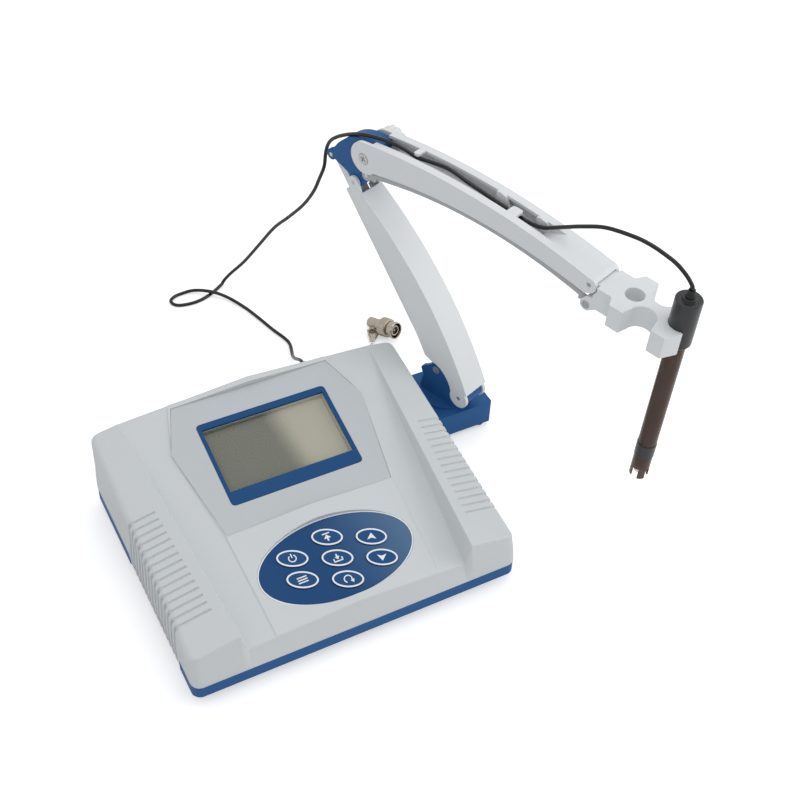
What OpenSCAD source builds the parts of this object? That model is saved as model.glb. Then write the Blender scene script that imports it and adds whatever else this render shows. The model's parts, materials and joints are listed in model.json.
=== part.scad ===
// Bench pH meter with a swivelling, spring-balanced electrode arm. Sizes in mm.
// The origin is the middle of the case's front edge, at table height.
// +X is the case's right side, +Y its rear, +Z up.

/* [Case] */
// Width of the case at its seam
case_w = 220; // [219:1:222]
// Depth of the case
case_d = 181; // [181:1:183]
// Height of the seam between the two shells
seam_z = 16.3; // [16:0.1:16.8]
// Height of the rubber feet
foot_h = 4.5; // [4:0.1:5]
// Wall thickness of the moulded shells
wall = 2.4; // [2.2:0.1:2.6]
// Radius of the case's upright corners
corner_r = 6; // [5:0.5:7]
// Height of the shoulder's outer edge at the front
shoulder_z = 37.3; // [37:0.1:38]
// Height of the console surface at the front edge
console_z = 29.4; // [29:0.1:29.8]
// Slope of the console in degrees
console_tilt = 12.87; // [12.5:0.01:13]
// Grooves on each shoulder
groove_count = 15; // [10:1:16]
// Spacing of the grooves
groove_pitch = 5.47; // [5:0.01:5.8]

/* [Display and keypad] */
// Width of the display's window frame
window_w = 91.2; // [90:0.1:92]
// Height of the display's window frame along the console
window_h = 63.9; // [62:0.1:64]
// Half length of the oval keypad sheet
keypad_a = 51.7; // [51:0.1:53]
// Half height of the oval keypad sheet
keypad_b = 28.4; // [28:0.1:29]
// Half length of one key
key_a = 10; // [9.5:0.1:10.2]
// Half height of one key
key_b = 5.8; // [5.5:0.1:6]
// Spacing of the key columns
key_col_pitch = 26; // [25.5:0.1:27]
// Spacing of the keys within a column
key_row_pitch = 15.6; // [15.2:0.1:16]
// Travel of a key
key_travel = 0.4; // [0.3:0.05:0.45]

/* [Arm] */
// Distance of the swivel axis to the right of the middle
swivel_x = 139; // [138:0.5:140]
// Distance of the swivel axis behind the front edge
swivel_y = 152; // [151:0.5:153]
// Angle of the arm at rest, outward from straight ahead
arm_yaw = 20.35; // [0:0.01:40]
// Pivot spacing of the lower arm
lower_len = 167.4; // [165:0.1:170]
// Angle of the lower arm above the forward direction
lower_angle = 128.25; // [124:0.01:130]
// Pivot spacing of the upper arm
upper_len = 183.3; // [180:0.1:186]
// Half width of the lower arm
lower_half = 10.5; // [10.4:0.1:10.8]
// Half width of the upper arm
upper_half = 11.9; // [11.8:0.1:12]
// Radius of the pivot pins
pin_r = 1.5; // [1.4:0.05:1.6]

/* [Electrode] */
// Slope of the holder at rest, in degrees, front end down
holder_tilt = 2.74; // [0:0.01:4]
// Diameter of the electrode's shaft
shaft_d = 12; // [11.8:0.1:12.2]
// Diameter of the electrode's cap
cap_d = 16.7; // [16.4:0.1:16.8]
// Length of the electrode from cap to tip
electrode_len = 150; // [145:1:155]
// Diameter of the lead
cable_d = 2.6; // [2.4:0.1:2.8]

/* [Hidden] */

$fn = 64;
eps = 0.01;
big = 400;
gap = 0.1;                      // clearance between fixed parts
plinth = 2.9;                   // step in at the foot of the lower shell
bore_r = pin_r + 0.05;          // running fit of the pins

shell_grey = [0.83, 0.84, 0.84];
overlay_grey = [0.74, 0.76, 0.77];
case_blue = [0.13, 0.27, 0.5];
steel = [0.75, 0.75, 0.74];
board_green = [0.1, 0.35, 0.2];
black = [0.08, 0.08, 0.09];
smoke = [0.28, 0.24, 0.22, 0.8];

// Case surfaces, as heights and slopes
shoulder_rise = 0.1466;         // rise towards the rear
shoulder_roll = 0.22;           // rise towards the middle
shoulder_top = shoulder_z + shoulder_roll * 108.5 - shoulder_rise * 2;
valley_z = 33.05;
valley_rise = 0.2289;
valley_roll = -0.075;
wall_foot_x = 72.7;             // foot of the shoulder's inner wall at the front
wall_foot_z = 29.5;
wall_lean = 0.28;
wall_splay = 0.0358;

// Places on the console, measured up its slope from the front edge
window_y = 128.4;
glass_w = 86;
glass_h = 49.2;
glass_y = 131.1;
keypad_y = 39.3;
key_mid_y = 38.4;
key_col_drop = 2.35;            // each column sits lower than the one to its left
key_turn = -23;
board_z = 12.9;                 // underside of the main board

skirt_y = [25, 113];
skirt_z = 7.4;                  // lower edge of the strips beside the grooves
block_x = [case_w / 2 + gap, 166];
block_y = [129, 178];
block_z = [4.2, 23.6];

// Pivots of the arm in its own frame: x forward from the swivel axis, z above the table
pivot_a = [21.1, 38.9];
link_offset = [-23.3, 10.2];
pivot_b = pivot_a + lower_len * [cos(lower_angle), sin(lower_angle)];
pivot_c = pivot_b + [9.9, 24.3];
pivot_d = pivot_c + [upper_len, 0];
upper_link_drop = [0.3, -14.5];
cheek_half = 7.7;               // half width of the turret and the elbow
slot_half = 4.4;                // half width of the slots for the lower link
link_half = 4.1;
shell_inner = 8.2;
upper_inner = 9.3;

// Holder, in its own frame: x forward from its pivot, z up
holder_top = 1.65;
holder_bottom = -14.4;
notch_r = cap_d / 2 + 0.05;
electrode_x = 58.6;
hole_x = 25;
cap_top = 20.6;
cap_len = 34;
tip_z = cap_top - electrode_len;

socket_x = 56;
socket_z = 34;

// ---------- helpers ----------

function unit(v) = v / norm(v);
function reversed(p) = [for (i = [len(p) - 1:-1:0]) p[i]];
function arc(c, r, a0, a1, n = 12) = [for (i = [0:n])
  let (a = a0 + (a1 - a0) * i / n) c + r * [cos(a), sin(a)]];
function bow(p, q, sag, n = 16) =
  let (d = q - p, s = unit([-d[1], d[0]]))
  [for (i = [0:n]) p + d * i / n + s * sag * 4 * (i / n) * (1 - i / n)];
function ellipse(a, b, n = 60) = [for (i = [0:n - 1]) [a * cos(360 * i / n), b * sin(360 * i / n)]];

// Point on a smooth curve through p, at u steps along it
function pick(p, i) = p[max(0, min(len(p) - 1, i))];
function curve_point(p, i, t) =
  let (a = pick(p, i - 1), b = pick(p, i), c = pick(p, i + 1), d = pick(p, i + 2))
  0.5 * (2 * b + (c - a) * t + (2 * a - 5 * b + 4 * c - d) * t * t + (3 * b - a - 3 * c + d) * t * t * t);
function smooth_path(p, n = 6) = concat(
  [for (i = [0:len(p) - 2], k = [0:n - 1]) curve_point(p, i, k / n)], [p[len(p) - 1]]);

// Sideways directions carried along a path without twist
function carry(t, u, i = 0, out = []) = i == len(t) ? out :
  let (v = unit(u - (u * t[i]) * t[i])) carry(t, v, i + 1, concat(out, [v]));

// Round tube with closed ends along a list of points
module tube(path, r, start_side, sides = 10) {
  n = len(path);
  dirs = [for (i = [0:n - 1]) unit(path[min(i + 1, n - 1)] - path[max(i - 1, 0)])];
  side = carry(dirs, start_side);
  points = [for (i = [0:n - 1], k = [0:sides - 1])
    let (a = 360 * k / sides) path[i] + r * (cos(a) * side[i] + sin(a) * cross(dirs[i], side[i]))];
  skin = [for (i = [0:n - 2], k = [0:sides - 1])
    [i * sides + k, i * sides + (k + 1) % sides, (i + 1) * sides + (k + 1) % sides, (i + 1) * sides + k]];
  ends = [[for (k = [sides - 1:-1:0]) k], [for (k = [0:sides - 1]) (n - 1) * sides + k]];
  outward = [for (f = skin) [f[3], f[2], f[1], f[0]]];
  lids = [for (f = ends) [for (k = [len(f) - 1:-1:0]) f[k]]];
  polyhedron(points, concat(outward, lids));
}

// Extrudes an outline in X and Z from y0 to y1
module plate(y0, y1) {
  translate([0, y1, 0]) rotate([90, 0, 0]) linear_extrude(y1 - y0) children();
}
// Extrudes an outline in Y and Z from x0 to x1
module rib_plate(x0, x1) {
  translate([x0, 0, 0]) rotate([90, 0, 90]) linear_extrude(x1 - x0) children();
}
// Everything below the plane z = h + gx * x + gy * y
module under_plane(h, gx, gy) {
  a = atan(gy);
  b = -atan(gx * cos(a));
  translate([0, 0, h]) rotate([a, 0, 0]) rotate([0, b, 0])
    translate([-big, -big, -big]) cube([2 * big, 2 * big, big]);
}
// Pin across the arm at p = [x, z]
module cross_pin(p, r, y0, y1) {
  translate([p[0], y0, p[1]]) rotate([-90, 0, 0]) cylinder(r = r, h = y1 - y0);
}
module rounded_plan(w, d, r) {
  square([w - 2 * r, d], center = true);
  square([w, d - 2 * r], center = true);
  for (x = [-1, 1], y = [-1, 1])
    translate([x * (w / 2 - r), y * (d / 2 - r)]) circle(r);
}
module on_console() {
  translate([0, 0, console_z]) rotate([console_tilt, 0, 0]) children();
}
module arm_frame() {
  translate([swivel_x, swivel_y, 0]) rotate([0, 0, arm_yaw - 90]) children();
}
module holder_frame() {
  arm_frame() translate([pivot_d[0], 0, pivot_d[1]]) rotate([0, holder_tilt, 0]) children();
}

// ---------- case ----------

module case_envelope(inset) {
  intersection() {
    translate([0, case_d / 2, seam_z]) linear_extrude(80)
      rounded_plan(case_w - 2 * inset, case_d - 2 * inset, corner_r);
    plate(-1, case_d + 1) {
      half = case_w / 2 - inset;
      polygon([[-half + 0.4, 0], [half - 0.4, 0], [half, 26],
        [half - 2.3, 90], [-half + 2.3, 90], [-half, 26]]);
    }
    rib_plate(-big, big)
      polygon([[inset, 0], [inset, seam_z], [inset + 7.5, seam_z + 22.2], [inset + 10.7, 48], [22, 90],
        [case_d - 20, 90], [case_d - 3 - inset, 64], [case_d - inset, 56], [case_d - inset, 0]]);
  }
}
module beside_wall(x0) {
  rotate([0, 90, 0]) under_plane(x0 - wall_lean * wall_foot_z, -wall_lean, wall_splay);
}
module console_plan() {
  polygon([[-54.5, -5], [-57.8, 76], [-67.5, 141.5], [-56, 185],
    [56, 185], [67.5, 141.5], [57.8, 76], [54.5, -5]]);
}
// Solid form of the top shell, lowered by drop and drawn in by inset
module top_form(drop, inset) {
  difference() {
    intersection() {
      case_envelope(inset);
      for (s = [0, 1]) mirror([s, 0, 0]) intersection() {
        translate([-eps, -big, 0]) cube([big, 2 * big, big]);
        under_plane(shoulder_top - drop, -shoulder_roll, shoulder_rise);
      }
    }
    difference() {
      intersection() {
        beside_wall(wall_foot_x + inset);
        mirror([1, 0, 0]) beside_wall(wall_foot_x + inset);
      }
      for (s = [0, 1]) mirror([s, 0, 0]) intersection() {
        translate([-eps, -big, 0]) cube([big, 2 * big, big]);
        under_plane(valley_z - drop, valley_roll, valley_rise);
      }
      intersection() {
        linear_extrude(big) console_plan();
        on_console() translate([-big, -big, -big - drop]) cube([2 * big, 2 * big, big]);
      }
    }
  }
}
module shoulder_groove(i) {
  y = 29.5 + groove_pitch * i;
  x = 86 + 0.078 * (y - 29.5);
  translate([0, 0, shoulder_top]) rotate([atan(shoulder_rise), 0, 0])
    rotate([0, atan(shoulder_roll * cos(atan(shoulder_rise))), 0])
      translate([x, y, -0.8]) cube([40, 1.2, 10]);
}
// Strips of the top shell that reach down over the lower shell beside the grooves
module side_skirts(grow, inset) {
  for (s = [0, 1]) mirror([s, 0, 0])
    translate([case_w / 2 - 1.5 - grow, skirt_y[0] - grow, skirt_z - grow])
      cube([1.5 + grow - inset, skirt_y[1] - skirt_y[0] + 2 * grow, seam_z - skirt_z + grow + eps]);
}
module case_posts(r, z0, z1) {
  for (x = [-92, 92], y = [20, 160]) translate([x, y, z0]) cylinder(r = r, h = z1 - z0);
}
module top_shell() color(shell_grey) {
  difference() {
    union() {
      top_form(0, 0);
      side_skirts(0, 0.1);
    }
    difference() {
      translate([0, 0, -eps]) top_form(wall, wall);
      case_posts(3.5, 0, 80);
    }
    for (s = [0, 1], i = [0:groove_count - 1]) mirror([s, 0, 0]) shoulder_groove(i);
    case_posts(1.3, seam_z - 1, seam_z + 12);
    on_console() {
      translate([0, 0, -0.6]) linear_extrude(5) overlay_outline(0.15);
      translate([0, window_y, -1.9]) linear_extrude(5) rounded_plan(window_w + 0.3, window_h + 0.3, 3);
      translate([-glass_w / 2, glass_y - glass_h / 2, -10]) cube([glass_w, glass_h, 20]);
      translate([0, keypad_y, -1]) linear_extrude(5) polygon(ellipse(keypad_a + 0.15, keypad_b + 0.15));
      for (k = [0:6]) translate([key_place(k)[0], key_place(k)[1], -10]) cylinder(r = 3, h = 20);
    }
    // opening for the rear panel and the recess it sits in
    translate([-70, case_d - 10, 22]) cube([160, 20, 26]);
    translate([-74, case_d - 1, 18.5]) cube([168, 5, 33]);
  }
}
// Outline of the lower shell drawn in by inset, from z0 up past the seam
module tray(inset, z0) {
  translate([0, case_d / 2, z0]) linear_extrude(seam_z - z0)
    rounded_plan(case_w - 0.6 - 2 * inset, case_d - 0.6 - 2 * inset, max(0.5, corner_r - inset));
}
module bottom_shell() color(case_blue) {
  difference() {
    union() {
      difference() {
        union() {
          tray(plinth, foot_h);
          tray(0, foot_h + plinth);
        }
        translate([0, 0, eps]) {
          tray(plinth + wall, foot_h + wall);
          tray(wall, foot_h + plinth + wall);
        }
        side_skirts(gap, 0);
      }
      case_posts(4.5, foot_h, seam_z);
      board_posts(3, foot_h, board_z);
    }
    case_posts(1.7, 0, seam_z + 1);
    case_posts(3.3, 0, foot_h + 5);
    board_posts(1.05, foot_h + wall, board_z + 1);
    for (y = [142, 166]) translate([case_w / 2 - 12, y, 11]) rotate([0, 90, 0]) {
      cylinder(r = 1.7, h = 20);
      cylinder(r = 3.3, h = 12 - 0.3 - wall);
    }
  }
}
module board_posts(r, z0, z1) {
  for (x = [-60, 60], y = [45, 150]) translate([x, y, z0]) cylinder(r = r, h = z1 - z0);
}
module rubber_feet() color(black) {
  for (x = [-90, 90], y = [36, 144]) translate([x, y, 0]) {
    cylinder(r1 = 6.2, r2 = 7, h = foot_h);
  }
  translate([block_x[1] - 6, block_y[0] + 6, 0]) cylinder(r1 = 3.6, r2 = 4, h = block_z[0]);
  translate([block_x[1] - 6, block_y[1] - 6, 0]) cylinder(r1 = 3.6, r2 = 4, h = block_z[0]);
}
module screw(r, head_r, length, head_h) {
  // head down, shank up
  difference() {
    cylinder(r = head_r, h = head_h);
    for (a = [0, 90]) rotate([0, 0, a]) translate([-head_r * 0.6, -0.3, -1]) cube([head_r * 1.2, 0.6, 1.7]);
  }
  translate([0, 0, head_h]) cylinder(r = r, h = length);
}
module case_screws() color(steel) {
  for (x = [-92, 92], y = [20, 160]) translate([x, y, foot_h + 2.6]) screw(1.25, 3, 18, 2.4);
}
module overlay_outline(grow) {
  f = 78.4 - grow;
  m = 145.4;
  b = 178.5 + grow;
  polygon([[-56.9 - grow, f], [56.9 + grow, f], [67.5 + grow, m],
    [55.4 + grow, b], [-55.4 - grow, b], [-67.5 - grow, m]]);
}
module overlay_panel() color(overlay_grey) {
  on_console() difference() {
    translate([0, 0, -0.6]) linear_extrude(0.45) overlay_outline(0);
    translate([0, window_y, -2]) linear_extrude(5) rounded_plan(window_w + 0.3, window_h + 0.3, 3);
  }
}
module window_frame() color(case_blue) {
  on_console() difference() {
    translate([0, window_y, -1.9]) linear_extrude(1.95) rounded_plan(window_w, window_h, 3);
    translate([-glass_w / 2, glass_y - glass_h / 2, -3]) cube([glass_w, glass_h, 6]);
  }
}
module display_lens() color([0.85, 0.88, 0.88, 0.3]) {
  on_console() translate([-glass_w / 2 + gap, glass_y - glass_h / 2 + gap, -1.9])
    cube([glass_w - 2 * gap, glass_h - 2 * gap, 1.2]);
}
module lcd_module() color([0.45, 0.46, 0.42]) {
  on_console() {
    difference() {
      translate([-47, glass_y - 30, -7.5]) cube([94, 60, 5]);
      translate([-glass_w / 2 + 1, glass_y - glass_h / 2 + 1, -4.2]) cube([glass_w - 2, glass_h - 2, 3]);
    }
  }
}

// ---------- keypad ----------

// Columns left to right hold 2, 3 and 2 keys, top to bottom
function key_place(k) =
  let (col = k < 2 ? -1 : k < 5 ? 0 : 1, row = k < 2 ? 0.5 - k : k < 5 ? 3 - k : 5.5 - k)
  [col * key_col_pitch, key_mid_y - col * key_col_drop + row * key_row_pitch];

module keypad_sheet() color(case_blue) {
  on_console() difference() {
    translate([0, keypad_y, -1]) linear_extrude(1.1) polygon(ellipse(keypad_a, keypad_b));
    for (k = [0:6]) translate([key_place(k)[0], key_place(k)[1], -2]) rotate([0, 0, key_turn])
      linear_extrude(5) polygon(ellipse(key_a + 0.2, key_b + 0.2, 40));
  }
}
module key(k) color(case_blue) {
  on_console() translate([key_place(k)[0], key_place(k)[1], 0]) {
    rotate([0, 0, key_turn]) {
      translate([0, 0, -0.5]) linear_extrude(1.0) polygon(ellipse(key_a, key_b, 40));
      translate([0, 0, 0.5]) linear_extrude(0.5) polygon(ellipse(key_a - 0.7, key_b - 0.7, 40));
    }
    translate([0, 0, -5.6]) cylinder(r = 2.4, h = 5.3);
  }
}
module key_power() key(0);
module key_mode() key(1);
module key_maximum() key(2);
module key_store() key(3);
module key_reset() key(4);
module key_up() key(5);
module key_down() key(6);
module keypad_board() color(board_green) {
  on_console() {
    translate([-45, 12, -9.2]) cube([90, 54, 1.6]);
    for (k = [0:6]) translate([key_place(k)[0] - 3, key_place(k)[1] - 3, -7.6])
      cube([6, 6, 1.9 - key_travel]);
    // posts that hang it from the console
    for (x = [-42, 42], y = [14, 64]) translate([x, y, -7.6]) cylinder(r = 1.5, h = 7.6 - wall - 0.2);
  }
}

// ---------- boards ----------

module main_board() color(board_green) {
  difference() {
    translate([-66, 38, board_z]) cube([132, 120, 1.6]);
    board_posts(1.5, 0, 50);
  }
}
module board_components() color(black) {
  z = board_z + 1.6;
  translate([-12, 84, z]) cube([24, 24, 2.4]);
  translate([26, 76, z]) cube([18, 10, 2]);
  translate([-50, 112, z]) cube([20, 16, 12]);
  for (i = [0:2]) translate([-44 + 12 * i, 140, z]) cylinder(r = 4, h = 11);
  translate([30, 116, z]) cube([30, 20, 9]);
  translate([-20, 60, z]) cube([40, 6, 7]);
}
module board_screws() color(steel) {
  for (x = [-60, 60], y = [45, 150]) translate([x, y, board_z + 1.6]) mirror([0, 0, 1]) {
    translate([0, 0, -1.6]) cylinder(r = 2.6, h = 1.6);
    cylinder(r = 1, h = 6);
  }
}

// ---------- rear panel ----------

module rear_panel() color([0.2, 0.2, 0.22]) {
  difference() {
    translate([-73.8, case_d - 1, 18.7]) cube([167.6, 1, 32.6]);
    for (h = rear_holes) translate([h[0], case_d - 2, socket_z]) rotate([-90, 0, 0])
      cylinder(r = h[1], h = 4);
  }
}
// Places and radii of the holes: power jack, temperature socket, reference post, electrode socket
power_x = -50;
temperature_x = -10;
reference_x = 22;
rear_holes = [[power_x, 4.05], [temperature_x, 4.05], [reference_x, 2.05], [socket_x, 4.85]];
module facing_rear(x) {
  translate([x, case_d, socket_z]) rotate([-90, 0, 0]) children();
}
module electrode_socket() color(steel) {
  facing_rear(socket_x) {
    difference() {
      union() {
        translate([0, 0, -12]) cylinder(r = 4.8, h = 24);
        cylinder(r = 7.6, h = 1.6);
        translate([0, 0, -3.4]) cylinder(r = 7.4, h = 2.3, $fn = 6);
        translate([0, 0, 9.6]) rotate([0, 90, 0]) translate([0, 0, -5.6]) cylinder(r = 0.9, h = 11.2);
      }
      translate([0, 0, 3]) cylinder(r = 4.05, h = 20);
    }
    translate([0, 0, 2]) difference() {
      cylinder(r = 2.4, h = 9);
      translate([0, 0, 1]) cylinder(r = 0.7, h = 20);
    }
  }
}
module temperature_socket() color(black) {
  facing_rear(temperature_x) {
    difference() {
      union() {
        translate([0, 0, -9]) cylinder(r = 4, h = 14);
        cylinder(r = 6.2, h = 1.6);
      }
      translate([0, 0, -6]) cylinder(r = 3.05, h = 20);
    }
  }
}
module power_jack() color(black) {
  facing_rear(power_x) {
    difference() {
      union() {
        translate([0, 0, -11]) cylinder(r = 4, h = 12.4);
        cylinder(r = 5.6, h = 1.4);
      }
      translate([0, 0, -9]) cylinder(r = 2.85, h = 20);
    }
    translate([0, 0, -10]) cylinder(r = 1.05, h = 10);
  }
}
module reference_post() color([0.6, 0.1, 0.1]) {
  facing_rear(reference_x) {
    translate([0, 0, -8]) cylinder(r = 2, h = 22);
    cylinder(r = 4.4, h = 2);
    translate([0, 0, 3.5]) cylinder(r = 4.4, h = 8, $fn = 24);
  }
}
module electrode_plug() color(steel) {
  facing_rear(socket_x) {
    difference() {
      union() {
        translate([0, 0, 3.2]) cylinder(r = 7.2, h = 13.4);
        translate([0, 0, 16.6]) cylinder(r = 5, h = 7);
        translate([0, 0, 23.6]) cylinder(r1 = 3.9, r2 = 2.9, h = 7);
      }
      translate([0, 0, 3]) cylinder(r = 5.75, h = 9.5);
      translate([0, 0, 12.4]) cylinder(r = 4.9, h = 1.2);
      translate([0, 0, 24]) cylinder(r = cable_d / 2 + 0.05, h = 20);
      translate([0, 0, 27.6]) cylinder(r1 = cable_d / 2 + 0.05, r2 = cable_d / 2 + 0.9, h = 3.01);
    }
  }
}

// Shorting plug, lying on the table behind the case
plug_at = [140.6, 252.1, 7.12];
plug_turn = -68;
plug_lift = 13.5;               // it rests on its collar and its ferrule
module shorting_plug() color(steel) {
  translate(plug_at) rotate([0, 0, plug_turn]) rotate([0, 90 - plug_lift, 0]) {
    difference() {
      union() {
        cylinder(r = 7.2, h = 8);
        translate([0, 0, 7]) cylinder(r = 5.3, h = 3);
        translate([0, 0, 9.2]) cylinder(r = 6.5, h = 5.4);
        translate([0, 0, -4]) cylinder(r = 4.6, h = 4);
        translate([0, 0, -13]) cylinder(r = 4, h = 9);
      }
      translate([0, 0, 5]) cylinder(r = 4.05, h = 20);
    }
    translate([0, 0, 4.5]) cylinder(r = 1.2, h = 8.5);
  }
}
// Links of the chain from the case's rear to the plug
chain_links = 12;
chain_start = [84, case_d + 3.6, 25];
chain_end = [127.4, 243, 2.4];
module plug_chain() color(steel) {
  for (i = [0:chain_links - 1]) {
    f = (i + 0.5) / chain_links;
    flat = chain_start + (chain_end - chain_start) * f;
    sag = 26 * f * (1 - f);
    translate([flat[0], flat[1], max(2.3, flat[2] - 2 * sag)]) rotate([i % 2 == 0 ? 0 : 90, 0, -30])
      rotate_extrude($fn = 16) translate([1.7, 0]) circle(0.45, $fn = 16);
  }
  // lug that holds the chain to the panel
  translate([82, case_d, 27]) rotate([-90, 0, 0]) cylinder(r = 3, h = 1);
}

// ---------- base block ----------

module base_block() color(case_blue) {
  w = block_x[1] - block_x[0];
  d = block_y[1] - block_y[0];
  h = block_z[1] - block_z[0];
  difference() {
    translate([block_x[0] + w / 2, block_y[0] + d / 2, block_z[0]]) linear_extrude(h) rounded_plan(w, d, 1.6);
    difference() {
      translate([block_x[0] + wall, block_y[0] + wall, block_z[0] - 1])
        cube([w - 2 * wall, d - 2 * wall, h - 2]);
      translate([swivel_x, swivel_y, 0]) cylinder(r = 10, h = 50);
      for (y = [block_y[0] + 1.5, block_y[1] - 10.5]) translate([block_x[1] - 10.5, y, 0]) cube([9, 9, 50]);
    }
    translate([swivel_x, swivel_y, -1]) cylinder(r = 6.05, h = 50);
    translate([swivel_x, swivel_y, -1]) cylinder(r = 9, h = 10);
    for (y = [142, 166]) translate([block_x[0] - 1, y, 11]) rotate([0, 90, 0]) cylinder(r = 1.25, h = 8);
  }
}
module base_screws() color(steel) {
  for (y = [142, 166]) translate([case_w / 2 - 5.2, y, 11]) rotate([0, 90, 0]) {
    cylinder(r = 3, h = 2.2);
    translate([0, 0, 2.2]) cylinder(r = 1.2, h = 6);
  }
}

// ---------- arm ----------

turret_base = block_z[1] + 0.1;
module turret_outline() {
  a2 = pivot_a + link_offset;
  translate(pivot_a) circle(6.4);
  polygon(concat(
    [[-16, turret_base + 1.6], [16.5, turret_base + 1.6]],
    [pivot_a + [5.4, -3.4], pivot_a + [1.5, 6.2], [6, 52.5]],
    arc(a2, 5.6, 60, 150, 8),
    arc([-13.2, 43.6], 2.6, 100, 200, 6),
    [[-13.6, 38]]));
}
module turret() color(case_blue) {
  a2 = pivot_a + link_offset;
  arm_frame() difference() {
    union() {
      plate(-cheek_half, cheek_half) turret_outline();
      translate([0, 0, turret_base]) cylinder(r = 17.2, h = 1.7);
      translate([0, 0, 9]) cylinder(r = 6, h = turret_base - 8);
    }
    translate([-40, -slot_half, 41.5]) cube([53, 2 * slot_half, 40]);
    cross_pin(pivot_a, bore_r, -20, 20);
    cross_pin(a2, bore_r, -20, 20);
    cylinder(r = 1.7, h = 20);
  }
}
module swivel_washer() color(steel) {
  translate([swivel_x, swivel_y, 6.7]) {
    cylinder(r = 8.6, h = 2.2);
    cylinder(r = 1.6, h = 12);
    translate([0, 0, -2]) cylinder(r = 4, h = 2, $fn = 6);
  }
}
module turret_pin() color(steel) {
  a2 = pivot_a + link_offset;
  arm_frame() {
    cross_pin(a2, pin_r, -cheek_half - 0.35, cheek_half);
    cross_pin(a2, 2.9, -cheek_half - 0.4, -cheek_half);
  }
}
// The arm shells are drawn along their own length: x from pivot to pivot, y to the rear
module along_lower(p) {
  translate(p) rotate([0, 0, lower_angle]) children();
}
lower_front = bow([0.8, -9.9], [158.5, -1.7], -10.7);
lower_inner = bow([0.8, -7.7], [158.5, 0.5], -10.7);
module lower_outline() {
  circle(7.6);
  translate([lower_len, 0]) circle(4.6);
  polygon(concat(lower_front,
    [[lower_len - 3.5, -2.9], [lower_len + 2, 4.1]],
    [[156.4, 10.3], [142, 9.5], [128, 9], [112, 7.8], [95, 7.1], [80, 7.3], [65, 8.8], [50, 10.6]],
    [[36.6, 12.3], [30.8, 8.6], [28.4, 5.9], [24.3, 3.4], [19, 2.2], [14.5, 2.1], [10.1, 2.7], [6.2, 4.2]]));
}
module lower_arm() color(shell_grey) {
  arm_frame() difference() {
    plate(-lower_half, lower_half) along_lower(pivot_a) lower_outline();
    plate(-shell_inner, shell_inner) along_lower(pivot_a) {
      polygon(concat(lower_inner, [[158.5, 40], [0.8, 40]]));
      translate([-40, -40]) square([40.8, 80]);
      translate([158.5, -40]) square([40, 80]);
    }
    cross_pin(pivot_a, bore_r, -20, 20);
    cross_pin(pivot_b, bore_r, -20, 20);
  }
}
module lower_arm_pins() color(steel) {
  arm_frame() {
    cross_pin(pivot_a, pin_r, -lower_half + 0.4, lower_half - 0.4);
    cross_pin(pivot_b, pin_r, -lower_half + 0.4, lower_half - 0.4);
  }
}
module lower_link() color(shell_grey) {
  arm_frame() difference() {
    union() {
      // wide between the shells, narrow where it enters the turret and the elbow
      plate(-7.2, 7.2) along_lower(pivot_a + link_offset) translate([22, -3]) square([120, 6]);
      plate(-link_half, link_half) along_lower(pivot_a + link_offset) {
        circle(4);
        translate([0, -3]) square([lower_len, 6]);
        translate([lower_len, 0]) circle(3.6);
      }
    }
    cross_pin(pivot_a + link_offset, bore_r, -20, 20);
    cross_pin(pivot_b + link_offset, bore_r + 0.4, -20, 20);
  }
}
// Two coil springs inside the lower arm, from a bar near its foot to the elbow
spring_r = 2.4;
module balance_springs() color(steel) {
  arm_frame() translate([pivot_a[0], 0, pivot_a[1]]) rotate([0, -lower_angle, 0]) {
    for (y = [-5.4, 5.4]) translate([34, y, 4.5]) rotate([0, 90, 0]) {
      difference() {
        cylinder(r = spring_r, h = 96);
        translate([0, 0, -1]) cylinder(r = spring_r - 0.8, h = 98);
      }
    }
    translate([32, -shell_inner, 4.5]) rotate([-90, 0, 0]) cylinder(r = 1.2, h = 2 * shell_inner);
    for (y = [-5.4, 5.4]) translate([130, y, 4.5]) rotate([0, 90, 0]) cylinder(r = 1, h = 31);
  }
}
elbow_hub = [0, -24];
elbow_r = 34.8;
module elbow_outline() {
  b = pivot_b - pivot_c;
  b2 = b + link_offset;
  translate(b2) circle(4);
  translate(b) circle(4.6);
  translate(upper_link_drop) circle(4);
  difference() {
    polygon(concat([b2 + [3.4, -2.2], b + [-3.8, 2.3], b + [1, -4.5], upper_link_drop + [3.4, -2.2]],
      [[6.4, -4], [7.6, 9.9]], arc(elbow_hub, elbow_r, 77.5, 158, 20)));
    polygon([b2 + [2.8, -2.9], b + [-4.2, 1.8], b + [-8, -9], b2 + [0, -9]]);
  }
}
module elbow_block() color(case_blue) {
  b2 = pivot_b + link_offset;
  arm_frame() difference() {
    plate(-cheek_half, cheek_half) translate(pivot_c) elbow_outline();
    // slot for the rear link
    translate([b2[0] - 12, -slot_half, b2[1] - 12]) cube([20.5, 2 * slot_half, 17.2]);
    translate([b2[0], -slot_half, b2[1] - 14]) cube([16, 2 * slot_half, 12]);
    cross_pin(pivot_b, bore_r, -20, 20);
    cross_pin(b2, bore_r, -20, 20);
    cross_pin(pivot_c, 2.05, -20, 20);
    cross_pin(pivot_c + upper_link_drop, bore_r, -20, 20);
  }
}
module elbow_pins() color(steel) {
  arm_frame() {
    cross_pin(pivot_b + link_offset, pin_r, -cheek_half - 0.3, cheek_half + 0.3);
    cross_pin(pivot_c + upper_link_drop, pin_r, -9.1, 9.1);
  }
}
module elbow_bolt() color(steel) {
  arm_frame() {
    cross_pin(pivot_c, 2, -upper_half + 0.7, upper_half + 8);
    difference() {
      cross_pin(pivot_c, 3.9, -upper_half - 0.2, -upper_half + 0.8);
      for (a = [20, 110]) translate([pivot_c[0], -upper_half, pivot_c[1]]) rotate([0, a, 0])
        cube([4.4, 1.2, 0.9], center = true);
    }
  }
}
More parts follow.
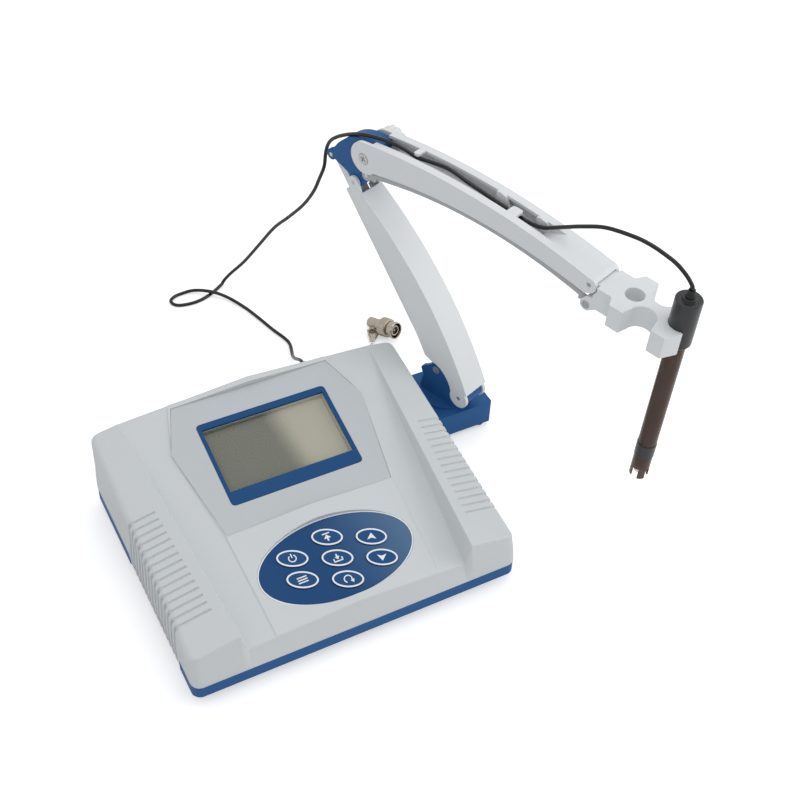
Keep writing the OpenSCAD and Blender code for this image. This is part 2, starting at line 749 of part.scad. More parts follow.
module tension_knob() color(shell_grey) {
  arm_frame() translate([pivot_c[0], upper_half + 0.2, pivot_c[1]]) rotate([-90, 0, 0]) difference() {
    union() {
      cylinder(r = 11.2, h = 8);
      cylinder(r = 6.5, h = 8.8);
    }
    for (i = [0:11]) rotate([0, 0, 30 * i]) translate([12.4, 0, 1.5]) cylinder(r = 2.2, h = 10);
    translate([0, 0, -1]) cylinder(r = 2.05, h = 9);
  }
}

// Outlines of the upper arm, from pivot C forward
upper_top = bow([0, 12.5], [upper_len + 1.4, 4.4], 8.3);
upper_bottom = bow([9, -7.4], [upper_len - 2.6, -7.4], 9.4);
slot_end = 146;
module upper_outline() {
  translate([0.6, 0.8]) circle(11.7);
  translate([upper_len, -0.4]) circle(5.2);
  polygon(concat(reversed(upper_bottom), [[0, 0]], upper_top,
    [[upper_len + 4.6, 1.6], [upper_len + 2.6, -4.8]]));
}
// Band that follows the arm's top, between two depths below it
module under_top(deep, shallow) {
  polygon(concat([for (p = reversed(upper_top)) p - [0, deep]], [for (p = upper_top) p - [0, shallow]]));
}
// Height of the arm's top at x
function top_at(x) = let (f = x / (upper_len + 1.4)) 12.5 - 8.1 * f + 33.2 * f * (1 - f);
// Finger over the lead: side -1 springs from the left rim and +1 from the right
module cable_clip(x, side, reach, half, drop) {
  translate([x, 0, top_at(x) - drop]) mirror([0, side < 0 ? 1 : 0, 0]) {
    translate([-half, 6.4 - reach, 0]) cube([2 * half, reach, 1.8]);
    translate([-half + 1.8, 4.6 - reach, 0]) cube([2 * half - 3.6, 3, 1.8]);
    for (k = [-1, 1]) translate([k * (half - 1.8), 6.4 - reach, 0]) cylinder(r = 1.8, h = 1.8);
  }
}
// Upright rib against the channel's right wall
module cable_fin(x) {
  translate([x, 0, top_at(x)]) plate(4.2, 6) polygon([[-5, -8], [7, -8], [3.6, -0.6], [-1, 0.6], [-4, 0]]);
}
module upper_arm() color(shell_grey) {
  arm_frame() translate([pivot_c[0], 0, pivot_c[1]]) {
    difference() {
      plate(-upper_half, upper_half) upper_outline();
      // room between the cheeks for the elbow, the link and the holder's tongue
      difference() {
        plate(-upper_inner, upper_inner) {
          translate([-40, -40]) square([56, 80]);
          polygon(concat([[15.9, -40], [15.9, 12]], [for (p = upper_top) if (p[0] > 15.9) p - [0, 2]],
            [[upper_len + 20, 2.4], [upper_len + 20, -40]]));
        }
        // floor of the cable channel
        intersection() {
          plate(-upper_half, upper_half) under_top(10.4, 8.4);
          translate([16, -20, -20]) cube([slot_end - 16, 40, 60]);
        }
        // solid under the ramp at its end
        intersection() {
          plate(-upper_half, upper_half) under_top(10.4, 0);
          translate([slot_end - 16, -20, -20]) cube([28, 40, 60]);
        }
        // rims above the room
        for (s = [0, 1]) mirror([0, s, 0]) intersection() {
          translate([6, 5.9, 8]) cube([slot_end - 6, 10, 20]);
          plate(0, upper_half) under_top(2.2, 0);
        }
      }
      // open slot along the top
      intersection() {
        translate([16, -5.9, -20]) cube([slot_end - 26, 11.8, 60]);
        plate(-20, 20) polygon(concat([for (p = upper_top) p - [0, 8.4]], [[upper_len, 40], [0, 40]]));
      }
      translate([slot_end - 10.2, -5.9, 4.6]) rotate([0, -21, 0]) cube([22, 11.8, 20]);
      translate([6, -5.9, 9]) cube([11, 11.8, 20]);
      cross_pin([0, 0], 2.05, -20, 20);
      cross_pin([0, 0], 4.1, -upper_half - 1, -upper_half + 0.9);
      cross_pin([upper_len, 0], bore_r, -20, 20);
      cross_pin([upper_len, 0], 4.1, -upper_inner, upper_inner);
    }
    // thrust rings that reach in to the elbow
    for (s = [0, 1]) mirror([0, s, 0]) difference() {
      cross_pin([0, 0], 5.5, cheek_half + 0.1, upper_inner + 0.1);
      cross_pin([0, 0], 2.05, 0, 20);
    }
    cable_clip(36, 1, 6.2, 2.2, 1.2);
    cable_clip(117.5, -1, 6.8, 4, 2.4);
    cable_fin(102);
    cable_fin(134);
  }
}
module upper_arm_pin() color(steel) {
  arm_frame() cross_pin(pivot_d, pin_r, -upper_half + 0.4, upper_half - 0.4);
}
link_outer = 9.05;
link_wall = 1.1;
module upper_link() color([0.62, 0.64, 0.65]) {
  low = bow([6, -14.2], [upper_len - 5, -14.2], 10.8);
  arm_frame() translate([pivot_c[0], 0, pivot_c[1]]) difference() {
    plate(-link_outer, link_outer) {
      translate(upper_link_drop) circle(3.8);
      translate([upper_len, 0] + upper_link_drop) circle(3.8);
      polygon(concat(low, [upper_link_drop + [upper_len, 3.4]], [for (p = reversed(low)) p + [0, 3.6]],
        [upper_link_drop + [0, 3.4]]));
      translate(upper_link_drop + [0, -1.6]) square([8, 4]);
      translate(upper_link_drop + [upper_len - 8, -1.6]) square([8, 4]);
    }
    // hollow of the U, with a web along the middle stretch
    difference() {
      translate([-20, -link_outer + link_wall, -40]) cube([upper_len + 40, 2 * (link_outer - link_wall), 60]);
      plate(-link_outer, link_outer) intersection() {
        polygon(concat([for (p = low) p - [0, 1]], [for (p = reversed(low)) p + [0, 1.4]]));
        translate([15, -40]) square([upper_len - 31, 60]);
      }
    }
    cross_pin(upper_link_drop, bore_r, -20, 20);
    cross_pin([upper_len, 0] + upper_link_drop, bore_r + 0.4, -20, 20);
  }
}

// ---------- holder ----------

function to_holder(p) = let (c = cos(holder_tilt), s = sin(holder_tilt))
  [p[0] * c - p[1] * s, p[0] * s + p[1] * c];
neck_half = 12.3;
lobe_half = 19;
module holder_plan() {
  difference() {
    polygon([[5.6, -neck_half], [16.4, -neck_half], [20, -lobe_half], [59, -lobe_half], [64, -9],
      [64, 9], [59, lobe_half], [20, lobe_half], [16.4, neck_half], [5.6, neck_half]]);
    for (s = [-1, 1]) {
      translate([39.3, s * 12.2]) {
        circle(notch_r);
        // mouth, flaring to the edge
        polygon([[-notch_r, 0], [-notch_r - 1.9, s * 8], [notch_r + 1.9, s * 8], [notch_r, 0]]);
      }
    }
    translate([electrode_x, 0]) circle(notch_r);
    polygon([[electrode_x + 4, -7.2], [electrode_x + 10, -9.4],
      [electrode_x + 10, 9.4], [electrode_x + 4, 7.2]]);
  }
}
module electrode_holder() color(shell_grey) {
  d2 = to_holder(upper_link_drop);
  holder_frame() difference() {
    union() {
      translate([0, 0, holder_bottom]) linear_extrude(holder_top - holder_bottom) holder_plan();
      // fork for the link, and tongue for the arm
      plate(-neck_half, neck_half) {
        translate(d2) circle(4.4);
        polygon([[-3.2, -13.2], [5.6, -1], [8, -1], [8, -14.4], [d2[0] + 1, -18.9], [d2[0] - 3, -17.2]]);
      }
      plate(-9, 9) {
        circle(3.6);
        translate([0, -3.6]) square([7, 3.6 + holder_top]);
      }
    }
    difference() {
      plate(-20, 20) {
        circle(6.3);
        intersection() {
          circle(8.3);
          translate([-20, -20]) square([24.4, 40]);
        }
      }
      plate(-9, 9) {
        circle(3.6);
        translate([0, -3.6]) square([7, 3.6 + holder_top]);
      }
    }
    plate(-upper_inner, upper_inner) {
      translate(d2) circle(5.2);
      translate([-20, -40]) square([20 + d2[0], 30.5]);
      translate([-20, -40]) square([26.5, 26.8]);
    }
    cross_pin([0, 0], bore_r, -20, 20);
    cross_pin(d2, bore_r, -20, 20);
    translate([hole_x, 0, -40]) cylinder(r = 6.15, h = 80);
  }
}
module holder_pin() color(steel) {
  d2 = to_holder(upper_link_drop);
  holder_frame() {
    cross_pin(d2, pin_r, -neck_half - 0.5, neck_half);
    cross_pin(d2, 2.6, -neck_half - 0.6, -neck_half);
  }
}

// ---------- electrode ----------

module at_electrode(z) {
  holder_frame() translate([electrode_x, 0, z]) children();
}
cap_low = cap_top - cap_len;
ring_z = cap_low - 86.6;          // top of the black ring
ring_len = 11;
module electrode_cap() color(black) {
  at_electrode(0) difference() {
    union() {
      translate([0, 0, cap_low + 1.6]) cylinder(d = cap_d, h = cap_len - 2.2);
      translate([0, 0, cap_low]) cylinder(d1 = cap_d - 2, d2 = cap_d, h = 1.6);
      translate([0, 0, cap_top - 0.6]) cylinder(d1 = cap_d, d2 = cap_d - 1.2, h = 0.6);
      translate([0, 0, cap_top]) cylinder(r = 4.6, h = 1.6);
    }
    translate([0, 0, cap_low - 1]) cylinder(d = shaft_d + 0.02, h = 21);
    translate([0, 0, cap_low]) cylinder(r = 2.55, h = 60);
  }
}
module strain_relief() color(black) {
  at_electrode(cap_top - 4) difference() {
    union() {
      cylinder(r = 2.5, h = 5.7);
      translate([0, 0, 5.7]) cylinder(r1 = 3, r2 = 2.1, h = 5);
    }
    translate([0, 0, 6]) cylinder(d = cable_d + 0.1, h = 20);
    translate([0, 0, 8]) cylinder(r1 = cable_d / 2 + 0.05, r2 = cable_d / 2 + 0.45, h = 2.71);
  }
}
module electrode_shaft() color(smoke) {
  at_electrode(0) difference() {
    translate([0, 0, ring_z + 0.1]) cylinder(d = shaft_d, h = cap_low + 20 - ring_z - 0.1);
    translate([0, 0, ring_z - 1]) cylinder(d = shaft_d - 2.4, h = 200);
  }
}
module electrode_ring() color(black) {
  at_electrode(ring_z - ring_len) difference() {
    cylinder(d = shaft_d + 0.6, h = ring_len);
    translate([0, 0, -1]) cylinder(r = 3.05, h = 20);
  }
}
module electrode_guard() color(smoke) {
  low = tip_z;
  at_electrode(0) difference() {
    translate([0, 0, low]) cylinder(d = shaft_d, h = ring_z - ring_len - low);
    translate([0, 0, low - 1]) cylinder(d = shaft_d - 2.4, h = ring_z - ring_len - low - 1);
    translate([0, 0, low - 1]) cylinder(r = 3.05, h = 40);
    for (a = [0, 90]) rotate([0, 0, a]) translate([-10, -2.2, low - 1]) cube([20, 4.4, 9]);
  }
}
module inner_stem() color([0.8, 0.8, 0.78, 0.6]) {
  at_electrode(0) difference() {
    translate([0, 0, tip_z + 9]) cylinder(r = 3, h = cap_low - tip_z - 2);
    translate([0, 0, tip_z]) cylinder(r = 2.2, h = 200);
  }
}
module sensing_bulb() color([0.85, 0.88, 0.9, 0.5]) {
  at_electrode(0) difference() {
    translate([0, 0, tip_z + 5]) sphere(4);
    translate([0, 0, tip_z + 5]) sphere(3.4);
    translate([-10, -10, tip_z + 9 - 1]) cube([20, 20, 20]);
  }
}

// ---------- lead ----------

// From the plug over the table, round a loop and under itself
module cable_tail() color(black) {
  z = cable_d / 2 + 0.1;
  tube(smooth_path([
    [socket_x, 207, socket_z], [socket_x, 209, socket_z], [socket_x, 211, socket_z],
    [socket_x + 0.3, 215.4, socket_z - 0.7], [57.2, 222, 29.3], [59.3, 234, 19.6],
    [65, 252, 5.5], [70, 268, z], [69.4, 276, z], [65.1, 289.7, z], [60.5, 307.2, z],
    [55.4, 323.9, z], [46.8, 340, z + 1.4], [37, 349.5, z + 3], [26.6, 358.1, z + 1.2], [16.8, 359.8, z],
    [10.3, 358.4, z], [6.2, 354.9, z], [7, 349.7, z], [11.8, 346.5, z], [21.7, 345.3, z],
    [31.5, 347.1, z], [40.8, 351.5, z], [48.5, 356.2, z + 0.2]]), cable_d / 2, [1, 0, 0]);
}
// Up to the elbow and over it
module cable_drop() color(black) {
  c = pivot_c;
  path = [
    [-150.5, -12.9, 1.8 - c[1]], [-150.3, -9.6, 4.6 - c[1]], [-144.5, -8, 13.5 - c[1]],
    [-130.4, -5, 32.2 - c[1]], [-114, -4, 56.6 - c[1]],
    [-97.5, -2.5, -113.2], [-81.7, -2, -94.9], [-66.6, -2, -76.3],
    [-56.2, -2, -59.4], [-50.1, -2, -45], [-45.5, -2, -32.5], [-43.9, -2, -20], [-40.7, -2.2, -10.9],
    [-34.7, -2.6, -4], [-23.8, -3.2, 3.8], [-10.6, -4.4, 11], [1.2, -4, 14.2], [9, -3.2, 15.4]];
  in_arm(path, [0, 1, 0]);
}
// Along the upper arm's channel
module cable_run() color(black) {
  in_arm([
    [9.6, -3.1, 15.5], [20, -2.2, 15.9], [28, -1.2, 14.9], [36, -0.3, 13.3], [46, 1, 14.2], [61, 2, 15.5],
    [77, 2, 13.2], [94, 2, 11.3], [109, 2, 9.4], [117, 2, 9], [126, 2, 8.2], [133, 1.8, 8.9]], [0, 1, 0]);
}
// From the channel's end to the electrode
module cable_lead() color(black) {
  out = [upper_len + electrode_x * cos(holder_tilt), -electrode_x * sin(holder_tilt)];
  up = [sin(holder_tilt), cos(holder_tilt)];
  foot = out + up * (cap_top + 2.6);
  in_arm(concat(
    [[133.6, 1.8, 9.1], [139, 1.6, 11.2], [149.3, 0.8, 17.6], [166.2, 0, 27.7], [182, 0, 35.1],
    [201.7, 0, 38.9], [213, 0, 39.1], [221.6, 0, 37.9], [229.3, 0, 36.1], [236, 0, 32.8], [240.8, 0, 29]],
    [for (h = [5, 2.5, 0]) [foot[0] + h * up[0], 0, foot[1] + h * up[1]]]), [0, 1, 0]);
}
// Lead along points given from the elbow pivot
module in_arm(path, side) {
  arm_frame() translate([pivot_c[0], 0, pivot_c[1]]) tube(smooth_path(path), cable_d / 2, side);
}

bottom_shell();
top_shell();
rubber_feet();
case_screws();
overlay_panel();
window_frame();
display_lens();
lcd_module();
keypad_sheet();
keypad_board();
main_board();
board_components();
board_screws();
key_power();
key_mode();
key_maximum();
key_store();
key_reset();
key_up();
key_down();
rear_panel();
electrode_socket();
temperature_socket();
reference_post();
power_jack();
electrode_plug();
shorting_plug();
plug_chain();
base_block();
base_screws();
turret();
turret_pin();
swivel_washer();
lower_arm();
lower_arm_pins();
lower_link();
balance_springs();
elbow_block();
elbow_pins();
elbow_bolt();
tension_knob();
upper_arm();
upper_arm_pin();
upper_link();
electrode_holder();
holder_pin();
electrode_cap();
strain_relief();
electrode_shaft();
electrode_ring();
electrode_guard();
inner_stem();
sensing_bulb();
cable_tail();
cable_drop();
cable_run();
cable_lead();
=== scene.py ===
import json
import math

import bmesh
import bpy
from mathutils import Matrix, Vector

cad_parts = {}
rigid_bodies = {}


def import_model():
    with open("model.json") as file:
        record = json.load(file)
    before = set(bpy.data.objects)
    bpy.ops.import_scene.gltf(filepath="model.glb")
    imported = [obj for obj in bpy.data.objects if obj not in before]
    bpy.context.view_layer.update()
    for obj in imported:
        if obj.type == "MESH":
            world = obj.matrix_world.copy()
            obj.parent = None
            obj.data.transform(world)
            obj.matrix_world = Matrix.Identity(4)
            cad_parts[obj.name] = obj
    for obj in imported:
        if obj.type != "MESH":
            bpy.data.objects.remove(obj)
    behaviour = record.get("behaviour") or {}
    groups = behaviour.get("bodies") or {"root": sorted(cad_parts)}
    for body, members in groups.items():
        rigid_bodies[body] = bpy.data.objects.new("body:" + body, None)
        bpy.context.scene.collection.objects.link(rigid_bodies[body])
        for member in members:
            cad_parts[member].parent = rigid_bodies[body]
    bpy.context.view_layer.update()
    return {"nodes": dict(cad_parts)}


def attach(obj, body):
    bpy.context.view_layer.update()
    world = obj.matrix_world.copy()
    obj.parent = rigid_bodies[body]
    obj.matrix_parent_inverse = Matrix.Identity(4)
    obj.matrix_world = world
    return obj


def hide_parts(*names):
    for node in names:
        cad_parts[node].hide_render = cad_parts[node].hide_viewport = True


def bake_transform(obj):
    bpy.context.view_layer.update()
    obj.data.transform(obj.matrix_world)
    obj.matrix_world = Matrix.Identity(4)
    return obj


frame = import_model()
nodes = frame["nodes"]
MM = 0.001


# ---------- places, in millimetres, shared with the CAD frame ----------

SEAM = 16.3
TILT = math.radians(12.87)
CONSOLE_Z = 29.4
YAW = math.radians(20.35)
SWIVEL = Vector((139, 152, 0))
FORWARD = Vector((math.sin(YAW), -math.cos(YAW), 0))
ACROSS = Vector((math.cos(YAW), math.sin(YAW), 0))
UP = Vector((0, 0, 1))
LOWER_ANGLE = math.radians(128.25)
LOWER_LEN, UPPER_LEN = 167.4, 183.3
# the arm's pivots as (forward, up): foot, elbow's lower one, elbow's upper one, holder
PIVOT_A = Vector((21.1, 38.9))
PIVOT_B = PIVOT_A + LOWER_LEN * Vector((math.cos(LOWER_ANGLE), math.sin(LOWER_ANGLE)))
PIVOT_C = PIVOT_B + Vector((9.9, 24.3))
PIVOT_D = PIVOT_C + Vector((UPPER_LEN, 0))
HOLDER_TILT = math.radians(2.74)


def arm(x, z, across=0):
    """Point in the arm's plane, x forward from the swivel axis."""
    return SWIVEL + FORWARD * x + UP * z + ACROSS * across


def on_console(x, y, z=0):
    """Point on the console, y measured up its slope."""
    c, s = math.cos(TILT), math.sin(TILT)
    return Vector((x, y * c - z * s, CONSOLE_Z + y * s + z * c))


def at_holder(x, z, across=0):
    """Point given from the holder's pivot, in the holder's own tilted directions."""
    c, s = math.cos(HOLDER_TILT), math.sin(HOLDER_TILT)
    return arm(PIVOT_D.x + x * c + z * s, PIVOT_D.y - x * s + z * c, across)


def along_lower(t, rear, across=0):
    """Point on the lower arm, t from its foot pivot, rear behind its axis."""
    c, s = math.cos(LOWER_ANGLE), math.sin(LOWER_ANGLE)
    return arm(PIVOT_A.x + t * c - rear * s, PIVOT_A.y + t * s + rear * c, across)


# ---------- materials ----------

def linear(r, g, b):
    """Screen colour, 0 to 255, as the renderer's linear colour."""
    def one(v):
        v /= 255
        return v / 12.92 if v <= 0.04045 else ((v + 0.055) / 1.055) ** 2.4
    return (one(r), one(g), one(b), 1)


def shade(rgba, f):
    return tuple(min(1, c * f) for c in rgba[:3]) + (1,)


def surface(name, rgb, rough=0.45, metal=0, grain=2600, bump=0.06, vary=0.05, blotch=45, wear_and_highlight=1.25, edge=0.35,
            streak=None, coat=0, transmission=0, alpha=1, ior=1.46, spec=0.5):
    """Procedural finish: noise at two scales drives the colour, and edges are painted lighter, partly as wear
    and partly as a painted highlight.

    The coarse noise also drives the roughness, and the fine one the bump."""
    m = bpy.data.materials.new(name)
    m.use_nodes = True
    t = m.node_tree
    n = t.nodes
    b = n["Principled BSDF"]
    base = linear(*rgb)

    def add(kind, **values):
        node = n.new(kind)
        for k, v in values.items():
            if hasattr(node, k):
                setattr(node, k, v)
            else:
                node.inputs[k].default_value = v
        return node

    def link(a, out, c, into):
        t.links.new(a.outputs[out], c.inputs[into])

    place = add("ShaderNodeTexCoord")
    stretch = add("ShaderNodeMapping")
    if streak:
        stretch.inputs["Scale"].default_value = streak
    link(place, "Object", stretch, "Vector")
    large = add("ShaderNodeTexNoise", Scale=blotch, Detail=4, Roughness=0.55)
    fine = add("ShaderNodeTexNoise", Scale=grain, Detail=3, Roughness=0.6)
    link(place, "Object", large, "Vector")
    link(stretch, "Vector", fine, "Vector")

    tone = add("ShaderNodeMix", data_type="RGBA")
    tone.inputs["A"].default_value = shade(base, 1 - vary)
    tone.inputs["B"].default_value = shade(base, 1 + vary)
    link(large, "Fac", tone, "Factor")
    speck = add("ShaderNodeMix", data_type="RGBA", blend_type="OVERLAY")
    speck.inputs["Factor"].default_value = 0.12
    t.links.new(tone.outputs["Result"], speck.inputs["A"])
    link(fine, "Color", speck, "B")

    # edges: the rounded normal differs from the flat one; there the colour is painted lighter, partly as wear
    # and partly as a painted highlight along the edge
    round_off = add("ShaderNodeBevel", samples=4)
    round_off.inputs["Radius"].default_value = edge * MM
    flat = add("ShaderNodeNewGeometry")
    dot = add("ShaderNodeVectorMath", operation="DOT_PRODUCT")
    t.links.new(round_off.outputs["Normal"], dot.inputs[0])
    t.links.new(flat.outputs["Normal"], dot.inputs[1])
    wear_and_highlight_mask = add("ShaderNodeMapRange")
    wear_and_highlight_mask.inputs["From Min"].default_value = 0.995
    wear_and_highlight_mask.inputs["From Max"].default_value = 0.8
    wear_and_highlight_mask.inputs["To Max"].default_value = 0.5
    t.links.new(dot.outputs["Value"], wear_and_highlight_mask.inputs["Value"])
    edges = add("ShaderNodeMix", data_type="RGBA")
    t.links.new(wear_and_highlight_mask.outputs["Result"], edges.inputs["Factor"])
    t.links.new(speck.outputs["Result"], edges.inputs["A"])
    # the edge band's lighter colour is wear and painted highlight together
    edges.inputs["B"].default_value = shade(base, wear_and_highlight)
    t.links.new(edges.outputs["Result"], b.inputs["Base Color"])

    gloss = add("ShaderNodeMapRange")
    gloss.inputs["To Min"].default_value = max(0, rough - 0.07)
    gloss.inputs["To Max"].default_value = min(1, rough + 0.07)
    link(large, "Fac", gloss, "Value")
    t.links.new(gloss.outputs["Result"], b.inputs["Roughness"])
    relief = add("ShaderNodeBump")
    relief.inputs["Strength"].default_value = bump
    relief.inputs["Distance"].default_value = 0.0002
    link(fine, "Fac", relief, "Height")
    t.links.new(round_off.outputs["Normal"], relief.inputs["Normal"])
    t.links.new(relief.outputs["Normal"], b.inputs["Normal"])

    b.inputs["Metallic"].default_value = metal
    b.inputs["Coat Weight"].default_value = coat
    b.inputs["Transmission Weight"].default_value = transmission
    b.inputs["IOR"].default_value = ior
    b.inputs["Alpha"].default_value = alpha
    b.inputs["Specular IOR Level"].default_value = spec
    return m


SHELL = surface("shell", (206, 210, 212), rough=0.42, bump=0.05, vary=0.012, wear_and_highlight=1.3, edge=0.6)
ARM = surface("arm_shell", (224, 227, 228), rough=0.42, bump=0.05, vary=0.012, wear_and_highlight=1.18, edge=0.6)
BLUE = surface("blue", (40, 92, 148), rough=0.42, bump=0.07, vary=0.06, wear_and_highlight=1.35, edge=0.5, spec=0.22)
BLUE_FRAME = surface("blue_frame", (16, 72, 124), rough=0.34, bump=0.03, vary=0.04, wear_and_highlight=1.1, edge=0.1,
                     spec=0.18)
BLUE_FILM = surface("blue_film", (14, 68, 120), rough=0.34, bump=0.03, vary=0.05, wear_and_highlight=1.1, edge=0.1,
                    spec=0.18)
BLUE_KEY = surface("blue_key", (20, 74, 126), rough=0.36, bump=0.03, vary=0.04, wear_and_highlight=1.25, edge=0.3, spec=0.2)
OVERLAY = surface("overlay", (190, 195, 198), rough=0.38, grain=5200, bump=0.04, vary=0.02, wear_and_highlight=1.1,
                  edge=0.1)
WHITE_INK = surface("white_ink", (236, 240, 244), rough=0.5, bump=0.02, vary=0.02, wear_and_highlight=1, edge=0.05)
LCD = surface("lcd", (122, 124, 110), rough=0.3, grain=3800, bump=0.02, vary=0.03, blotch=18, wear_and_highlight=1,
              edge=0.05)
LINK = surface("link_grey", (176, 180, 182), rough=0.45, vary=0.03, wear_and_highlight=1.15)
BLACK = surface("black", (44, 44, 46), rough=0.3, bump=0.05, vary=0.12, wear_and_highlight=1.7, edge=0.4, coat=0.25)
DARK = surface("dark_grey", (52, 53, 56), rough=0.5, bump=0.08, vary=0.08, wear_and_highlight=1.4)
CABLE = surface("cable", (14, 14, 15), rough=0.3, grain=1500, bump=0.03, vary=0.12, wear_and_highlight=1.3, edge=0.1,
                coat=0.2)
RUBBER = surface("rubber", (30, 30, 31), rough=0.5, bump=0.08, vary=0.12, wear_and_highlight=1.5)
STEEL = surface("steel", (206, 206, 204), rough=0.3, metal=1, bump=0.05, vary=0.06, wear_and_highlight=1.1,
                streak=(1, 1, 6))
NICKEL = surface("nickel", (196, 186, 172), rough=0.2, metal=1, bump=0.04, vary=0.14, blotch=160, wear_and_highlight=1.15,
                 edge=0.2)
BOARD = surface("board", (30, 92, 56), rough=0.4, vary=0.1)
RED = surface("red", (150, 26, 26), rough=0.35, vary=0.05)
SMOKE = surface("smoke", (112, 88, 76), rough=0.12, bump=0.01, vary=0.2, blotch=70, wear_and_highlight=1.1,
                transmission=0.6, ior=1.35, edge=0.3)
CLEAR = surface("clear", (235, 238, 236), rough=0.04, bump=0, vary=0.01, wear_and_highlight=1, transmission=1, ior=1.45,
                edge=0.2)
LENS = surface("lens", (30, 30, 30), rough=0.03, bump=0, vary=0.005, wear_and_highlight=1, edge=0.1, alpha=0.06)
PALE = surface("pale", (150, 138, 126), rough=0.3, vary=0.1)


def sheen(material, low, high, rgb, slant=0.12):
    """A soft reflection across part of a glossy panel, from x = low to x = high in mm.

    Its edge moves slant mm towards -x for each mm up the panel."""
    t = material.node_tree
    b = t.nodes["Principled BSDF"]
    source = b.inputs["Base Color"].links[0].from_socket
    place = t.nodes.new("ShaderNodeTexCoord")
    split = t.nodes.new("ShaderNodeSeparateXYZ")
    t.links.new(place.outputs["Object"], split.inputs["Vector"])
    lean = t.nodes.new("ShaderNodeMath")
    lean.operation = "MULTIPLY_ADD"
    lean.inputs[1].default_value = slant
    t.links.new(split.outputs["Y"], lean.inputs[0])
    t.links.new(split.outputs["X"], lean.inputs[2])
    ramp = t.nodes.new("ShaderNodeMapRange")
    ramp.interpolation_type = "SMOOTHSTEP"
    ramp.inputs["From Min"].default_value = low * MM
    ramp.inputs["From Max"].default_value = high * MM
    t.links.new(lean.outputs["Value"], ramp.inputs["Value"])
    mix = t.nodes.new("ShaderNodeMix")
    mix.data_type = "RGBA"
    mix.inputs["B"].default_value = linear(*rgb)
    t.links.new(ramp.outputs["Result"], mix.inputs["Factor"])
    t.links.new(source, mix.inputs["A"])
    t.links.new(mix.outputs["Result"], b.inputs["Base Color"])


sheen(LCD, 14, 34, (192, 188, 170))
sheen(BLUE_FILM, -10, 95, (96, 128, 156))

FINISH = {
    "bottom_shell": BLUE, "rubber_feet": RUBBER, "case_screws": STEEL, "overlay_panel": OVERLAY,
    "window_frame": BLUE_FRAME, "display_lens": LENS, "lcd_module": LCD, "keypad_sheet": BLUE_FILM,
    "keypad_board": BOARD, "main_board": BOARD, "board_components": BLACK, "board_screws": STEEL,
    "key_power": BLUE_KEY, "key_mode": BLUE_KEY, "key_maximum": BLUE_KEY, "key_store": BLUE_KEY,
    "key_reset": BLUE_KEY, "key_up": BLUE_KEY, "key_down": BLUE_KEY, "rear_panel": DARK,
    "electrode_socket": NICKEL, "temperature_socket": BLACK, "reference_post": RED, "power_jack": BLACK,
    "electrode_plug": NICKEL, "base_block": BLUE, "base_screws": STEEL, "turret": BLUE, "turret_pin": STEEL,
    "swivel_washer": STEEL, "lower_arm": ARM, "lower_arm_pins": STEEL, "lower_link": ARM,
    "elbow_block": BLUE, "elbow_pins": STEEL, "elbow_bolt": STEEL, "tension_knob": ARM, "upper_arm": ARM,
    "upper_arm_pin": STEEL, "upper_link": LINK, "electrode_holder": ARM, "holder_pin": STEEL,
    "electrode_cap": BLACK, "strain_relief": RUBBER, "electrode_shaft": SMOKE, "electrode_ring": BLACK,
    "electrode_guard": SMOKE, "inner_stem": PALE, "sensing_bulb": CLEAR,
}

# moulded pieces get truly rounded edges: width in mm
SOFT = {
    "bottom_shell": 0.8, "base_block": 0.8, "turret": 0.6, "elbow_block": 0.7, "lower_arm": 0.6,
    "upper_arm": 0.45, "lower_link": 0.5, "electrode_holder": 0.8, "tension_knob": 0.5, "upper_link": 0.2,
    "rear_panel": 0.2, "window_frame": 0.25, "electrode_cap": 0.3, "rubber_feet": 0.5,
}

WELD = 0.000002  # metres
FLAT, CORNERS, CREASES = math.radians(0.6), math.radians(35), math.radians(32)

for name, finish in FINISH.items():
    o = nodes[name]
    o.data.materials.clear()
    o.data.materials.append(finish)
    if "custom_normal" in o.data.attributes:
        o.data.attributes.remove(o.data.attributes["custom_normal"])
    weld = o.modifiers.new("weld", "WELD")
    weld.merge_threshold = WELD
    flat = o.modifiers.new("flat", "DECIMATE")
    flat.decimate_type = "DISSOLVE"
    flat.angle_limit = FLAT
    if name in SOFT:
        soft = o.modifiers.new("soft", "BEVEL")
        soft.width = SOFT[name] * MM
        soft.segments = 3
        soft.limit_method = "ANGLE"
        soft.angle_limit = CORNERS
    for p in o.data.polygons:
        p.use_smooth = True
    if name in SOFT:
        even = o.modifiers.new("even", "WEIGHTED_NORMAL")
        even.keep_sharp = False
        even.weight = 60
    else:
        crisp = o.modifiers.new("crisp", "EDGE_SPLIT")
        crisp.split_angle = CREASES


# ---------- mesh helpers ----------

def make(name, points, faces, finish, body=None, sharp=32, replaces=(), slot=None):
    """A new piece from points in mm; edges sharper than sharp degrees stay crisp."""
    mesh = bpy.data.meshes.new(name)
    mesh.from_pydata([tuple(Vector(p) * MM) for p in points], [], faces)
    mesh.validate()
    mesh.update()
    b = bmesh.new()
    b.from_mesh(mesh)
    bmesh.ops.recalc_face_normals(b, faces=b.faces)
    b.to_mesh(mesh)
    b.free()
    mesh.materials.append(finish)
    for p in mesh.polygons:
        p.use_smooth = True
    mesh.set_sharp_from_angle(angle=math.radians(sharp))
    o = bpy.data.objects.new(name, mesh)
    bpy.context.scene.collection.objects.link(o)
    if body:
        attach(o, body)
    if replaces:
        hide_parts(*replaces)
    return o


def join(parts):
    """Several (points, faces) as one."""
    points, faces = [], []
    for p, f in parts:
        k = len(points)
        points += list(p)
        faces += [[i + k for i in g] for g in f]
    return points, faces


PATH_STEPS = 8


